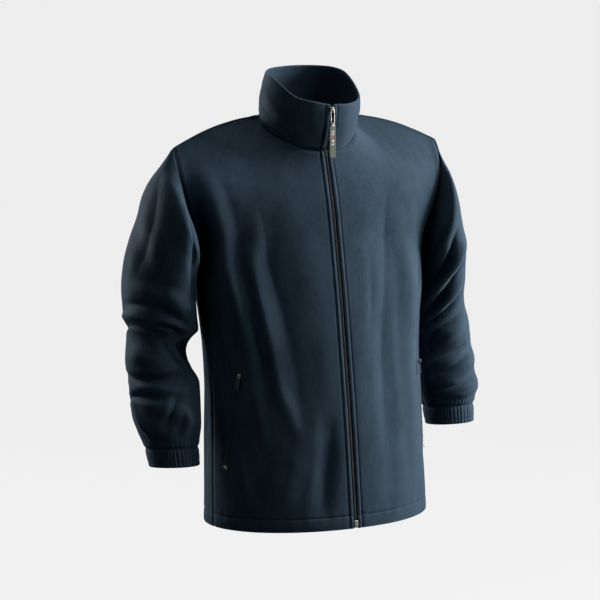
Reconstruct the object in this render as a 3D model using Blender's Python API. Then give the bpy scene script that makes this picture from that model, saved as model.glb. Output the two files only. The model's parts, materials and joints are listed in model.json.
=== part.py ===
"""Fleece zip jacket, filled out as if worn: cut panels, sleeves, cuffs, collar and zips."""

import bpy
import bmesh
import numpy as np
from math import cos, pi, radians, sin
from mathutils import Matrix, Vector

# ---------------------------------------------------------------- driving sizes, in metres
# The front faces -Y and the wearer's left is +X. The origin is midway between the shoulders.
CLOTH = 0.0020             # fleece, single layer
CUFF_CLOTH = 0.0030        # cuff casing, fleece folded over the elastic
COLLAR_CLOTH = 0.0045      # collar, two layers turned at the top edge
SEAM_GAP = 0.0003          # kept between any two pieces
SEAM_DRAW = 0.6 * SEAM_GAP  # taken off each cloth piece at a seam
SLEEVE_DRAW = 1.4 * SEAM_GAP  # that the sleeve's edge stands out from the armhole's
FRONT_OPENING = 0.0045     # from the middle of the zip to each front edge
FRONT_COLUMNS = 12         # of one front, of which FRONT_NECK_COLUMNS end at the neckline
BACK_COLUMNS = 22
FRONT_NECK_COLUMNS = 5
BACK_NECK_COLUMNS = 4      # to each side of the centre back
BODY_ROWS = 12             # hem to underarm
ARMHOLE_ROWS = 10          # underarm to shoulder
SLEEVE_ROWS = 23
COLLAR_ROWS = 4
TOP_LEVEL = BODY_ROWS + ARMHOLE_ROWS
EASED_ROWS = slice(BODY_ROWS + 2, TOP_LEVEL)  # the chest and yoke, which the cloth spans smoothly
EASING_ROUNDS = 6
SHOULDER_POINT = (0.254, -0.008, -0.042)
SHOULDER_RISE = 0.010      # crown of the shoulder seam over its chord

# One row for each level of the body. Levels count the panel rows up from the hem. front_y and
# back_y lie on the centre lines. The edges are where the panels end, on the side seam and then
# round the armhole. A turn is how far round a panel has curved there, in degrees, and a fall
# over 1 draws a ring in towards its sides, as the chest does under the shoulders. A crowding
# under 1 sets the columns closer towards the edge, so that they fan out from the neckline.
BODY_COLUMNS = ("level", "front_z", "edge_z", "back_z", "edge_x", "front_y", "front_edge_y",
                "back_edge_y", "back_y", "front_turn", "back_turn", "fall", "crowding")
BODY_TABLE = (
    (0.0, -0.685, -0.688, -0.690, 0.2050, -0.190, -0.056, -0.056, 0.102, 84, 96, 1.0, 1.00),
    (2.6, -0.586, -0.588, -0.590, 0.2015, -0.178, -0.047, -0.047, 0.098, 86, 94, 1.0, 1.00),
    (5.1, -0.490, -0.490, -0.490, 0.1987, -0.165, -0.041, -0.041, 0.095, 87, 93, 1.0, 1.00),
    (7.6, -0.395, -0.395, -0.395, 0.1990, -0.150, -0.030, -0.030, 0.098, 89, 91, 1.0, 1.00),
    (10.1, -0.302, -0.300, -0.300, 0.2095, -0.135, -0.018, -0.018, 0.107, 91, 89, 0.9, 0.97),
    (12.0, -0.240, -0.236, -0.238, 0.2160, -0.123, -0.001, -0.001, 0.115, 92, 88, 0.9, 0.92),
    (14.4, -0.194, -0.188, -0.190, 0.2280, -0.114, -0.030, 0.028, 0.117, 80, 80, 1.1, 0.84),
    (17.0, -0.146, -0.137, -0.136, 0.2440, -0.104, -0.037, 0.038, 0.112, 74, 74, 1.3, 0.76),
    (19.5, -0.100, -0.087, -0.082, 0.2525, -0.091, -0.032, 0.027, 0.096, 68, 68, 1.5, 0.68),
)

# The neckline seam, by the angle from the centre front.
NECK_HALF_WIDTH = 0.0845
NECK_FRONT_Y = -0.077
NECK_BACK_Y = 0.064
NECK_COLUMNS = ("angle", "z")
NECK_TABLE = ((0, -0.0525), (30, -0.045), (55, -0.029), (85, -0.010), (108, 0.007),
              (140, 0.013), (180, 0.015))
SHOULDER_SEAM_ANGLE = 108

# The collar's top edge. Its right side stands taller than the left, which is turned down.
COLLAR_HALF_WIDTH = 0.083
COLLAR_SHIFT = 0.007       # the back of its top edge stands a little to the left
COLLAR_FRONT_Y = -0.098
COLLAR_SIDE_Y = -0.0174
COLLAR_BACK_Y = 0.064
COLLAR_SWELL = 0.004       # the middle of its height stands out from the straight line
COLLAR_SEAM_GAP = 3 * SEAM_GAP
COLLAR_TOP_COLUMNS = ("angle", "z")
COLLAR_TOP_TABLE = ((-180, 0.087), (-140, 0.084), (-110, 0.078), (-85, 0.072), (-60, 0.055),
                    (-38, 0.036), (-18, 0.031), (0, 0.026), (37, 0.029), (65, 0.038),
                    (80, 0.048), (95, 0.064), (112, 0.079), (140, 0.086), (180, 0.087))

# One row for each ring of a sleeve, given for the left one: the outermost and innermost
# points, the middle of the ring in y, half of its width front to back, and how much its front
# stands higher than its middle.
SLEEVE_COLUMNS = ("outer_x", "outer_z", "inner_x", "inner_z", "middle_y", "half_depth", "rise")
SLEEVE_TABLE = (
    (0.2805, -0.096, 0.2195, -0.243, -0.004, 0.080, 0.000),
    (0.3045, -0.170, 0.2185, -0.268, 0.006, 0.085, 0.000),
    (0.3210, -0.240, 0.2150, -0.298, 0.016, 0.085, 0.000),
    (0.3230, -0.295, 0.2100, -0.335, 0.022, 0.086, 0.004),
    (0.3200, -0.338, 0.2090, -0.368, 0.018, 0.074, 0.006),
    (0.3250, -0.390, 0.2100, -0.405, 0.010, 0.067, 0.006),
    (0.3290, -0.450, 0.2130, -0.460, -0.006, 0.064, 0.006),
    (0.3240, -0.510, 0.2180, -0.515, -0.023, 0.058, 0.005),
    (0.3130, -0.548, 0.2260, -0.550, -0.032, 0.046, 0.005),
)
# How far the outer side of each sleeve stands from the table's, at the shoulder and the cuff.
SLEEVE_SPREAD = {"left": (-0.010, 0.005), "right": (0.007, 0.004)}
CUFF_LENGTH = 0.030
CUFF_ROWS = 2
LEFT_SLEEVE_PUSHED_UP = 0.028  # more of the left sleeve is bunched above its elbow
SLEEVE_POINTS = 2 * ARMHOLE_ROWS
PUSHED_UP_FROM = -0.20     # z where the pushed-up sleeve starts to rise
PUSHED_UP_OVER = 0.35      # height over which it comes to its full rise
CUFF_DRAWN_IN = 0.05       # of its radius, by the elastic at its end

# The largest folds. A spot is (place along a row, row), rows counting up a panel from the hem or
# down a sleeve from the armhole, and places from the zip, from the back's left side seam or from
# the underarm forwards. The width is from the fold's crest to where it has died away, and the
# height is how far its crest stands out, or in where it is below 0.
FOLD_COLUMNS = ("piece", "start", "middle", "end", "width", "height")
FOLD_TABLE = (
    ("front_right", (8.4, 19.2), (7.6, 13.6), (6.9, 7.4), 0.030, 0.0075),
    ("front_right", (4.2, 16.4), (5.3, 10.8), (4.6, 4.8), 0.030, 0.0060),
    ("front_right", (6.3, 14.0), (6.3, 9.6), (5.9, 5.6), 0.022, -0.0050),
    ("front_right", (5.9, 0.6), (4.9, 2.2), (3.7, 3.9), 0.036, 0.0050),
    ("front_right", (2.3, 1.0), (1.8, 2.6), (1.5, 4.6), 0.026, -0.0040),
    ("front_left", (4.5, 15.2), (6.3, 8.8), (6.5, 3.2), 0.040, 0.0055),
    ("front_left", (8.4, 12.6), (8.2, 9.4), (8.7, 6.4), 0.026, -0.0040),
    ("front_left", (2.6, 9.5), (3.3, 5.4), (2.9, 1.2), 0.034, -0.0035),
    ("back", (5.2, 19.0), (6.0, 12.4), (7.6, 6.4), 0.036, 0.0060),
    ("back", (16.6, 18.0), (15.6, 11.6), (14.2, 4.4), 0.036, 0.0060),
    ("back", (10.2, 12.6), (10.9, 7.4), (10.4, 1.6), 0.034, -0.0055),
    ("back", (2.6, 10.2), (3.4, 5.8), (3.0, 1.4), 0.030, 0.0050),
    ("back", (19.8, 9.6), (18.8, 5.2), (19.4, 1.0), 0.030, 0.0050),
    ("sleeve_right", (11.6, 11.7), (6.2, 12.0), (1.6, 11.7), 0.026, 0.0060),
    ("sleeve_right", (11.0, 13.4), (6.0, 13.3), (1.8, 13.1), 0.022, -0.0065),
    ("sleeve_right", (5.0, 13.4), (2.4, 13.5), (0.0, 13.7), 0.030, -0.020),
    ("sleeve_right", (4.8, 14.4), (2.2, 14.5), (0.0, 14.7), 0.046, -0.020),
    ("sleeve_right", (11.6, 15.2), (7.6, 15.6), (4.4, 14.6), 0.028, 0.0040),
    ("sleeve_right", (11.4, 17.6), (6.8, 17.7), (2.6, 15.4), 0.024, -0.0065),
    ("sleeve_right", (8.2, 18.9), (5.6, 19.4), (2.8, 20.9), 0.022, 0.0045),
    ("sleeve_right", (11.0, 20.2), (8.8, 20.7), (6.0, 22.0), 0.022, 0.0035),
    ("sleeve_right", (12.4, 4.0), (9.4, 6.2), (6.4, 9.2), 0.034, -0.0045),
    ("sleeve_right", (19.0, 12.2), (16.0, 12.9), (13.2, 13.3), 0.024, -0.0055),
    ("sleeve_right", (18.6, 17.4), (15.8, 16.6), (13.0, 17.0), 0.026, -0.0050),
    ("sleeve_left", (6.8, 4.6), (4.4, 6.0), (2.0, 8.4), 0.026, -0.0055),
    ("sleeve_left", (8.0, 6.6), (5.0, 7.6), (2.6, 9.8), 0.026, 0.0045),
    ("sleeve_left", (7.2, 9.4), (4.8, 10.2), (2.2, 11.8), 0.024, -0.0060),
    ("sleeve_left", (8.2, 14.4), (5.4, 15.0), (2.2, 15.4), 0.030, 0.0050),
    ("sleeve_left", (9.0, 17.0), (5.6, 17.0), (2.0, 17.2), 0.021, -0.0045),
    ("sleeve_left", (9.0, 19.4), (6.0, 19.6), (2.4, 19.3), 0.021, -0.0060),
    ("sleeve_left", (8.6, 21.0), (6.0, 21.1), (2.8, 20.9), 0.020, 0.0035),
    ("sleeve_left", (18.8, 11.8), (16.0, 12.6), (12.6, 12.4), 0.024, -0.0055),
    ("sleeve_left", (18.2, 17.0), (15.4, 16.2), (12.4, 17.2), 0.024, -0.0050),
)
FOLD_STEPS = 25
FOLD_FADE_CELLS = 2.0      # a fold dies away over these from a seam

# Front zip. A depth is measured inwards from the front edges, and a height along the zip.
COIL_HALF_WIDTH = 0.0016
COIL_DEPTHS = (0.0006, 0.0034)
TAPE_DEPTHS = (CLOTH + 2 * SEAM_GAP, CLOTH + 2 * SEAM_GAP + 0.0008)
TAPE_FROM = COIL_HALF_WIDTH + SEAM_GAP
TAPE_BEHIND = 0.0095       # that the tape reaches behind a front
TAPE_IN_COLLAR = FRONT_OPENING - SEAM_GAP
BOX_SIZE = (0.0072, 0.0110, 0.0030)
BOX_HEIGHT = 0.0070        # of its middle above the hem
BOX_DEPTH = 0.0005         # of its middle
SLIDER_SIZE = (0.0072, 0.0095, 0.0036)
SLIDER_BELOW_TOP = 0.0070
SLIDER_DEPTH = 0.0001      # of its middle
ARCH_HALF_LENGTH = 0.0029
ARCH_HEIGHT = 0.0056       # of its wire's middle over the middle of the slider
ARCH_WIRE = 0.0008         # radius
ARCH_SHOULDER = 0.72       # of its height, where its legs bend over
ARCH_BEND = 0.55           # of its half length, where its top is level
ARCH_SUNK = 0.0004         # into the slider's face
PIVOT_HEIGHT = 0.0034
LINK_WIRE = 0.0007         # radius
LINK_HALF_WIDTH = 0.0031
LINK_LENGTH = 0.0230
LINK_CORNER = 0.0012
TAB_SIZE = (0.0110, 0.0030, 0.0540)
TAB_BELOW_LINK = 0.0032    # top of the wide part under the link's lower bar
EYE_RADIUS = 0.0023
EYE_HOLE = 0.0011
EYE_WIDTH = 0.0038
TAB_NECK_THICKNESS = 0.0024
TAB_NECK_OVERLAP = 0.0005  # into the eye above and into the tab below

# Pocket zips, one on each front, by the share across the front and the panel row.
POCKET_TOP = (0.672, 6.97)
POCKET_BOTTOM = (0.842, 2.72)
POCKET_STEPS = 14
POCKET_ZIP_HALF_WIDTH = 0.0028
POCKET_ZIP_HEIGHTS = (0.0005, 0.0019)
POCKET_SLIDER_SIZE = (0.0056, 0.0085, 0.0024)
POCKET_SLIDER_HEIGHT = 0.0035
POCKET_PIVOT_HEIGHT = 0.0059
POCKET_PULL_SIZE = (0.0060, 0.0230, 0.0012)
POCKET_STOP_SIZE = (0.0062, 0.0034, 0.0016)
POCKET_STOP_HEIGHT = 0.0031
POCKET_STOP_FROM_END = 0.0017
POCKET_SLIDER_FROM_END = 0.0068
POCKET_ARCH_HEIGHT = 0.0050
PULL_WINDOW_SIZE = (0.0034, 0.0052, 0.0040)
PULL_WINDOW_BELOW = 0.0032  # of its middle, under the pivot


# ---------------------------------------------------------------- shapes from tables
def column(table, names, name):
    return np.array([row[names.index(name)] for row in table], float)


def through(knots, values, at):
    """A smooth curve through values at rising knots, read at each place in at."""
    knots = np.asarray(knots, float)
    values = np.asarray(values, float)
    at = np.atleast_1d(np.asarray(at, float))
    steps = np.diff(knots)
    shape = (-1,) + (1,) * (values.ndim - 1)
    slopes = np.diff(values, axis=0) / steps.reshape(shape)
    before = np.concatenate([slopes[:1], slopes])
    after = np.concatenate([slopes, slopes[-1:]])
    weight = np.concatenate([[0.5], steps[1:] / (steps[:-1] + steps[1:]), [0.5]]).reshape(shape)
    tangents = before * weight + after * (1 - weight)
    cell = np.clip(np.searchsorted(knots, at, side="right") - 1, 0, len(steps) - 1)
    width = steps[cell].reshape(shape)
    t = ((at - knots[cell]) / steps[cell]).reshape(shape)
    return ((2 * t**3 - 3 * t**2 + 1) * values[cell] + (t**3 - 2 * t**2 + t) * width * tangents[cell]
            + (3 * t**2 - 2 * t**3) * values[cell + 1] + (t**3 - t**2) * width * tangents[cell + 1])


def from_table(table, names, name, along, at):
    return through(column(table, names, along), column(table, names, name), at)


def points_of(x, y, z):
    return np.stack(np.broadcast_arrays(x, y, z), axis=-1).astype(float)


def oval(angle, half_width, front_y, side_y, back_y):
    """x and y on a ring made of a front and a back half ellipse; the angle starts at the front."""
    depth = np.where(np.cos(angle) > 0, side_y - front_y, back_y - side_y)
    return half_width * np.sin(angle), side_y - depth * np.cos(angle)


def rounding(turn, fall):
    """How far from the centre line towards the edge a curve has gone back, at each turn."""
    return 1 - np.sign(np.cos(turn)) * np.abs(np.cos(turn)) ** fall


def unit(vectors):
    return vectors / np.maximum(np.linalg.norm(vectors, axis=-1, keepdims=True), 1e-9)


# ---------------------------------------------------------------- the body panels
def neckline(angle_deg):
    angle = np.radians(angle_deg)
    x, y = oval(angle, NECK_HALF_WIDTH, NECK_FRONT_Y, 0.0, NECK_BACK_Y)
    return points_of(x, y, from_table(NECK_TABLE, NECK_COLUMNS, "z", "angle", np.abs(angle_deg)))


def shoulder_seam(share):
    """The left shoulder seam, from the neckline (0) to the shoulder point (1)."""
    share = np.asarray(share, float)[:, None]
    start = neckline(np.array([SHOULDER_SEAM_ANGLE]))[0]
    line = start + (np.array(SHOULDER_POINT) - start) * share
    line[:, 2] += SHOULDER_RISE * np.sin(pi * share[:, 0])
    return line


def top_edge(shares, neck_share, neck_from, neck_to):
    """Neckline, then shoulder seam, of a left panel, for shares of its width from the centre."""
    on_neck = shares <= neck_share + 1e-9
    angles = neck_from + (neck_to - neck_from) * np.clip(shares / neck_share, 0, 1)
    line = neckline(angles)
    seam = shoulder_seam(np.clip((shares - neck_share) / (1 - neck_share), 0, 1))
    line[~on_neck] = seam[~on_neck]
    return line


def body_row(level_index, shares, at_back):
    """One table row of a left panel, for shares of its width from the centre line."""
    row = dict(zip(BODY_COLUMNS, BODY_TABLE[level_index]))
    side = "back" if at_back else "front"
    end = radians(row[side + "_turn"])
    shares = shares ** row["crowding"]
    x = row["edge_x"] * np.sin(end * shares) / sin(end)
    way = rounding(end * shares, row["fall"]) / rounding(end, row["fall"])
    y = row[side + "_y"] + (row[side + "_edge_y"] - row[side + "_y"]) * way
    z = row[side + "_z"] + (row["edge_z"] - row[side + "_z"]) * np.sin(pi / 2 * shares) ** 2
    return points_of(x, y, z)


def opening_at(shares):
    """How far each column of a left front stands out, so that the first is the front edge."""
    return FRONT_OPENING * np.clip(1 - shares * FRONT_COLUMNS / FRONT_NECK_COLUMNS, 0, 1)


def neighbours(grid):
    """The mean of the four points round each inner point of a grid."""
    return (grid[:-2, 1:-1] + grid[2:, 1:-1] + grid[1:-1, :-2] + grid[1:-1, 2:]) / 4


def left_panel(shares, levels, at_back):
    """Points (level, share, xyz) on the outer face of the left front or the left half back."""
    if at_back:
        top = top_edge(shares, 2 * BACK_NECK_COLUMNS / BACK_COLUMNS, 180, SHOULDER_SEAM_ANGLE)
    else:
        top = top_edge(shares, FRONT_NECK_COLUMNS / FRONT_COLUMNS, 0, SHOULDER_SEAM_ANGLE)
    rows = [body_row(i, shares, at_back) for i in range(len(BODY_TABLE))] + [top]
    knots = list(column(BODY_TABLE, BODY_COLUMNS, "level")) + [TOP_LEVEL]
    grid = through(knots, np.array(rows), levels)
    for _ in range(EASING_ROUNDS):
        grid[EASED_ROWS, 1:-1] += 0.5 * (neighbours(grid) - grid[1:-1, 1:-1])[EASED_ROWS.start - 1:]
    if not at_back:
        grid[..., 0] += opening_at(shares)
    return grid


def mirrored(points):
    return points * np.array([-1.0, 1.0, 1.0])


def placed_on(side, points):
    """Points of a left piece, put on the named side."""
    return points if side == "left" else mirrored(points)


# ---------------------------------------------------------------- the sleeves
def sleeve_ring(row, spread):
    """One table row as points that run from the underarm over the front to the shoulder."""
    values = dict(zip(SLEEVE_COLUMNS, row))
    outer = np.array([values["outer_x"] + spread, values["middle_y"], values["outer_z"]])
    inner = np.array([values["inner_x"], values["middle_y"], values["inner_z"]])
    angle = 2 * pi * np.arange(SLEEVE_POINTS) / SLEEVE_POINTS
    across = np.cos(angle)[:, None]
    forward = np.sin(angle)[:, None]
    depth = np.array([0.0, -values["half_depth"], values["rise"]])
    return (outer + inner) / 2 - across * (outer - inner) / 2 + forward * depth


def sleeve_grid(armhole, spread, pushed_up):
    """Points (ring, place, xyz) of a left sleeve, from the armhole to the cuff seam."""
    spreads = np.linspace(*spread, len(SLEEVE_TABLE))
    rings = [armhole] + [sleeve_ring(row, out) for row, out in zip(SLEEVE_TABLE, spreads)]
    gaps = [np.linalg.norm(b - a, axis=1).mean() for a, b in zip(rings, rings[1:])]
    knots = np.concatenate([[0], np.cumsum(gaps)])
    knots = knots / knots[-1]
    grid = through(knots, np.array(rings), np.linspace(0, 1, SLEEVE_ROWS + 1))
    drop = np.clip((PUSHED_UP_FROM - grid[..., 2]) / PUSHED_UP_OVER, 0, 1)
    grid[..., 2] += pushed_up * drop
    return grid


# ---------------------------------------------------------------- walls
def face_normals(grid, closed=False):
    """The outward direction at each grid point, from the rows and columns around it."""
    if closed:
        wide = np.concatenate([grid[:, -1:], grid, grid[:, :1]], axis=1)
        across = wide[:, 2:] - wide[:, :-2]
    else:
        across = np.gradient(grid, axis=1)
    return unit(np.cross(across, np.gradient(grid, axis=0)))


def share_normals(first, second, weight=1.0):
    """Gives two panels one direction along their seam, as a mitre; 0 leaves each its own."""
    return unit(first + weight * second), unit(second + weight * first)


def pulled_in(grid, sides):
    """The grid with the named edges drawn back from the seam."""
    result = grid.copy()
    places = {"bottom": (0, 1), "top": (-1, -2), "first": (0, 1), "last": (-1, -2)}
    for side in sides:
        edge, inside = places[side]
        if side in ("bottom", "top"):
            result[edge] += unit(grid[inside] - grid[edge]) * SEAM_DRAW
        else:
            result[:, edge] += unit(grid[:, inside] - grid[:, edge]) * SEAM_DRAW
    return result


# ---------------------------------------------------------------- the largest folds
def on_grid(grid, place, row):
    """The point at fractions of a place and of a row."""
    column_index = min(int(place), grid.shape[1] - 2)
    row_index = min(int(row), grid.shape[0] - 2)
    u = place - column_index
    low, high = grid[row_index], grid[row_index + 1]
    near = low + (high - low) * (row - row_index)
    return near[column_index] * (1 - u) + near[column_index + 1] * u


def fold_heights(piece, grid, closed=False):
    """How far each point of a grid stands out from the plain shape."""
    wide = np.concatenate([grid, grid[:, :1]], axis=1) if closed else grid
    steps = np.linspace(0, 1, FOLD_STEPS)
    heights = np.zeros(grid.shape[:2])
    for values in FOLD_TABLE:
        fold = dict(zip(FOLD_COLUMNS, values))
        if fold["piece"] != piece:
            continue
        spots = through((0, 0.5, 1), (fold["start"], fold["middle"], fold["end"]), steps)
        line = np.array([on_grid(wide, *spot) for spot in spots])
        away = np.linalg.norm(grid[:, :, None] - line, axis=-1) / fold["width"]
        swell = np.sin(pi * (0.1 + 0.8 * steps))
        across = np.cos(pi / 2 * np.clip(away, 0, 1)) ** 2
        heights += fold["height"] * (across * swell).max(axis=-1)
    return heights * fold_fade(grid.shape, closed)


def fold_fade(shape, closed):
    """0 on each seam and 1 from FOLD_FADE_CELLS inside it; a panel's hem is left free."""
    rows = np.arange(shape[0])[:, None]
    places = np.arange(shape[1])[None]
    from_ends = np.minimum(rows, shape[0] - 1 - rows)
    if closed:
        cells = from_ends + 0 * places
    else:
        cells = np.minimum(shape[0] - 1 - rows, np.minimum(places, shape[1] - 1 - places))
    return np.clip(cells / FOLD_FADE_CELLS, 0, 1)


def folded(piece, grid, normals, closed=False):
    """The grid with its folds, and its new outward directions; the seams keep their own."""
    moved = grid + normals * fold_heights(piece, grid, closed)[..., None]
    turned = -face_normals(moved, closed=True) if closed else face_normals(moved)
    turned[-1] = normals[-1]
    if closed:
        turned[0] = normals[0]
    else:
        turned[:, 0] = normals[:, 0]
        turned[:, -1] = normals[:, -1]
    return moved, turned


def material(name, colour, roughness, metallic=0.0):
    made = bpy.data.materials.new(name)
    made.use_nodes = True
    shader = made.node_tree.nodes["Principled BSDF"]
    shader.inputs["Base Color"].default_value = (*colour, 1)
    shader.inputs["Roughness"].default_value = roughness
    shader.inputs["Metallic"].default_value = metallic
    return made


def add_object(name, mesh, finish):
    made = bpy.data.objects.new(name, mesh)
    mesh.materials.append(finish)
    bpy.data.collections["fleece_zip_jacket"].objects.link(made)
    return made


def add_wall(name, outer, inner, finish, closed=False):
    """A cloth wall between two grids of points; a closed one joins its last column to its first."""
    rows, columns = outer.shape[:2]
    count = rows * columns
    spans = columns if closed else columns - 1

    def at(layer, row, place):
        return layer * count + row * columns + place % columns

    faces = []
    for row in range(rows - 1):
        for place in range(spans):
            corners = [(row, place), (row, place + 1), (row + 1, place + 1), (row + 1, place)]
            # Both faces of the wall are split along one diagonal, so that they never cross.
            for half in (corners[:3], [corners[0], *corners[2:]]):
                faces.append([at(0, *corner) for corner in half])
                faces.append([at(1, *corner) for corner in reversed(half)])
    for row in (0, rows - 1):
        for place in range(spans):
            faces.append([at(0, row, place), at(0, row, place + 1),
                          at(1, row, place + 1), at(1, row, place)])
    for place in () if closed else (0, columns - 1):
        for row in range(rows - 1):
            faces.append([at(0, row, place), at(0, row + 1, place),
                          at(1, row + 1, place), at(1, row, place)])
    mesh = bpy.data.meshes.new(name)
    mesh.from_pydata(np.concatenate([outer.reshape(-1, 3), inner.reshape(-1, 3)]).tolist(), [], faces)
    shape = bmesh.new()
    shape.from_mesh(mesh)
    bmesh.ops.recalc_face_normals(shape, faces=shape.faces)
    shape.to_mesh(mesh)
    shape.free()
    mesh.shade_smooth()
    mesh.set_sharp_from_angle(angle=radians(50))
    return add_object(name, mesh, finish)


# ---------------------------------------------------------------- the garment
def collar_grid():
    """Points (row, place, xyz) of the collar, from its right front edge round to its left."""
    front = np.linspace(0, SHOULDER_SEAM_ANGLE, FRONT_NECK_COLUMNS + 1)
    back = np.linspace(SHOULDER_SEAM_ANGLE, 180, BACK_NECK_COLUMNS + 1)
    half = np.concatenate([front, back[1:]])
    angles = np.concatenate([-half, half[-2::-1]])
    turn = np.radians(angles)
    opening = opening_at(np.arange(len(half)) / FRONT_COLUMNS)
    opening = np.concatenate([-opening, opening[-2::-1]])
    bottom = neckline(angles)
    bottom[:, 2] += COLLAR_SEAM_GAP
    x, y = oval(turn, COLLAR_HALF_WIDTH, COLLAR_FRONT_Y, COLLAR_SIDE_Y, COLLAR_BACK_Y)
    x = x + COLLAR_SHIFT * np.sin(turn / 2) ** 2
    top = points_of(x, y, from_table(COLLAR_TOP_TABLE, COLLAR_TOP_COLUMNS, "z", "angle", angles))
    share = np.linspace(0, 1, COLLAR_ROWS + 1)[:, None, None]
    grid = bottom * (1 - share) + top * share
    swell = COLLAR_SWELL * np.sin(pi * share[..., 0])
    grid[..., 0] += swell * np.sin(turn) + opening
    grid[..., 1] -= swell * np.cos(turn)
    return grid


def build_cloth():
    fleece = material("fleece", (0.018, 0.036, 0.058), 0.95)
    levels = np.arange(TOP_LEVEL + 1)
    front = left_panel(np.linspace(0, 1, FRONT_COLUMNS + 1), levels, False)
    half_back = left_panel(np.linspace(0, 1, BACK_COLUMNS // 2 + 1), levels, True)
    side_seam = slice(0, BODY_ROWS + 1)
    front[side_seam, -1] = (front[side_seam, -1] + half_back[side_seam, -1]) / 2
    half_back[side_seam, -1] = front[side_seam, -1]
    # The back runs from the wearer's left side seam over the centre to the right one.
    back = np.concatenate([half_back[:, ::-1], mirrored(half_back)[:, 1:]], axis=1)
    arm_front = front[BODY_ROWS:, -1]
    arm_back = half_back[BODY_ROWS:, -1]
    armhole = np.concatenate([arm_front, arm_back[-2:0:-1]])
    armhole_out = armhole + np.array([SLEEVE_DRAW, 0, 0])
    sleeves = {"left": sleeve_grid(armhole_out, SLEEVE_SPREAD["left"], LEFT_SLEEVE_PUSHED_UP),
               "right": sleeve_grid(armhole_out, SLEEVE_SPREAD["right"], 0.0)}

    n_front = face_normals(front)
    n_back = face_normals(back)
    n_sleeve = -face_normals(sleeves["right"], closed=True)
    n_front[side_seam, -1], n_back[side_seam, 0] = share_normals(n_front[side_seam, -1],
                                                                 n_back[side_seam, 0])
    on_shoulder = FRONT_COLUMNS - FRONT_NECK_COLUMNS + 1
    n_front[-1, -on_shoulder:], n_back[-1, on_shoulder - 1::-1] = share_normals(
        n_front[-1, -on_shoulder:], n_back[-1, on_shoulder - 1::-1])
    # Under the arm the sleeve folds back on the body, so there each keeps its own direction.
    rise = slice(BODY_ROWS, None)
    places = ARMHOLE_ROWS + 1
    behind = np.r_[0, SLEEVE_POINTS - 1:places - 2:-1]
    weight = np.clip((np.arange(places) - 1.0) / 3.0, 0, 1)[:, None]
    n_front[rise, -1], ahead_of_seam = share_normals(n_front[rise, -1], n_sleeve[0, :places], weight)
    n_back[rise, 0], behind_seam = share_normals(n_back[rise, 0], n_sleeve[0, behind], weight)
    n_armhole = np.concatenate([ahead_of_seam, behind_seam[-2:0:-1]])
    # The right half of the back mirrors the left.
    n_back[:, BACK_COLUMNS // 2 + 1:] = mirrored(n_back[:, :BACK_COLUMNS // 2][:, ::-1])

    fronts = {}
    for side in ("left", "right"):
        grid, normals = folded("front_" + side, front, n_front)
        inner = grid - normals * CLOTH
        edges = ("last", "top")
        add_wall("front_" + side, placed_on(side, pulled_in(grid, edges)),
                 placed_on(side, pulled_in(inner, edges)), fleece)
        fronts[side] = (grid, inner)
    back, n_back = folded("back", back, n_back)
    edges = ("first", "last", "top")
    add_wall("back", pulled_in(back, edges), pulled_in(back - n_back * CLOTH, edges), fleece)

    for side, grid in sleeves.items():
        normals = -face_normals(grid, closed=True)
        normals[0] = n_armhole
        grid, normals = folded("sleeve_" + side, grid, normals, closed=True)
        inner = grid - normals * CLOTH
        add_wall("sleeve_" + side, placed_on(side, pulled_in(grid, ("top",))),
                 placed_on(side, pulled_in(inner, ("top",))), fleece, closed=True)
        build_cuff(side, grid, fleece)

    build_collar(fleece)
    return fronts


def build_cuff(side, sleeve, fleece):
    """The casing goes on in the sleeve's last direction, drawn in a little by its elastic."""
    step = unit((sleeve[-1] - sleeve[-2]).mean(axis=0))
    share = np.linspace(0, 1, CUFF_ROWS + 1)[:, None, None]
    ring = sleeve[-1] + step * SEAM_GAP
    centre = ring.mean(axis=0)
    grid = ring + step * CUFF_LENGTH * share
    grid -= (ring - centre) * CUFF_DRAWN_IN * np.sin(pi / 2 * share)
    out = -face_normals(grid, closed=True)
    inner = grid - out * CUFF_CLOTH
    add_wall("cuff_" + side, placed_on(side, grid), placed_on(side, inner), fleece, closed=True)


def build_collar(fleece):
    grid = collar_grid()
    normals = face_normals(grid)
    normals[0] = unit(normals[0] * np.array([1, 1, 0]))
    normals[:, [0, -1]] = unit(normals[:, [0, -1]] * np.array([0, 1, 1]))
    add_wall("collar", grid, grid - normals * COLLAR_CLOTH, fleece)


# ---------------------------------------------------------------- zips and their hardware
def frame_at(origin, right, up):
    """A matrix whose x is right, y is up and z is out of the cloth."""
    right = Vector(right).normalized()
    out = right.cross(Vector(up)).normalized()
    up = out.cross(right)
    turn = Matrix((right, up, out)).transposed().to_4x4()
    return Matrix.Translation(Vector(origin)) @ turn


def front_edge_line(front):
    """y and z of the front edges from the hem to the collar's top, and the way out of them."""
    collar = collar_grid()
    line = np.concatenate([front[:-1, 0], collar[:, -1]])[:, 1:]
    along = unit(np.gradient(line, axis=0))
    return line, np.stack([-along[:, 1], along[:, 0]], axis=-1)


def strip_wall(name, xs, line, out, depths, finish):
    """A band of cloth or coil along the front edges; xs gives each row's places across."""
    layers = []
    for depth in depths:
        middle = line - out * depth
        layers.append(points_of(xs, middle[:, None, 0], middle[:, None, 1]))
    return add_wall(name, *layers, finish)


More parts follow.
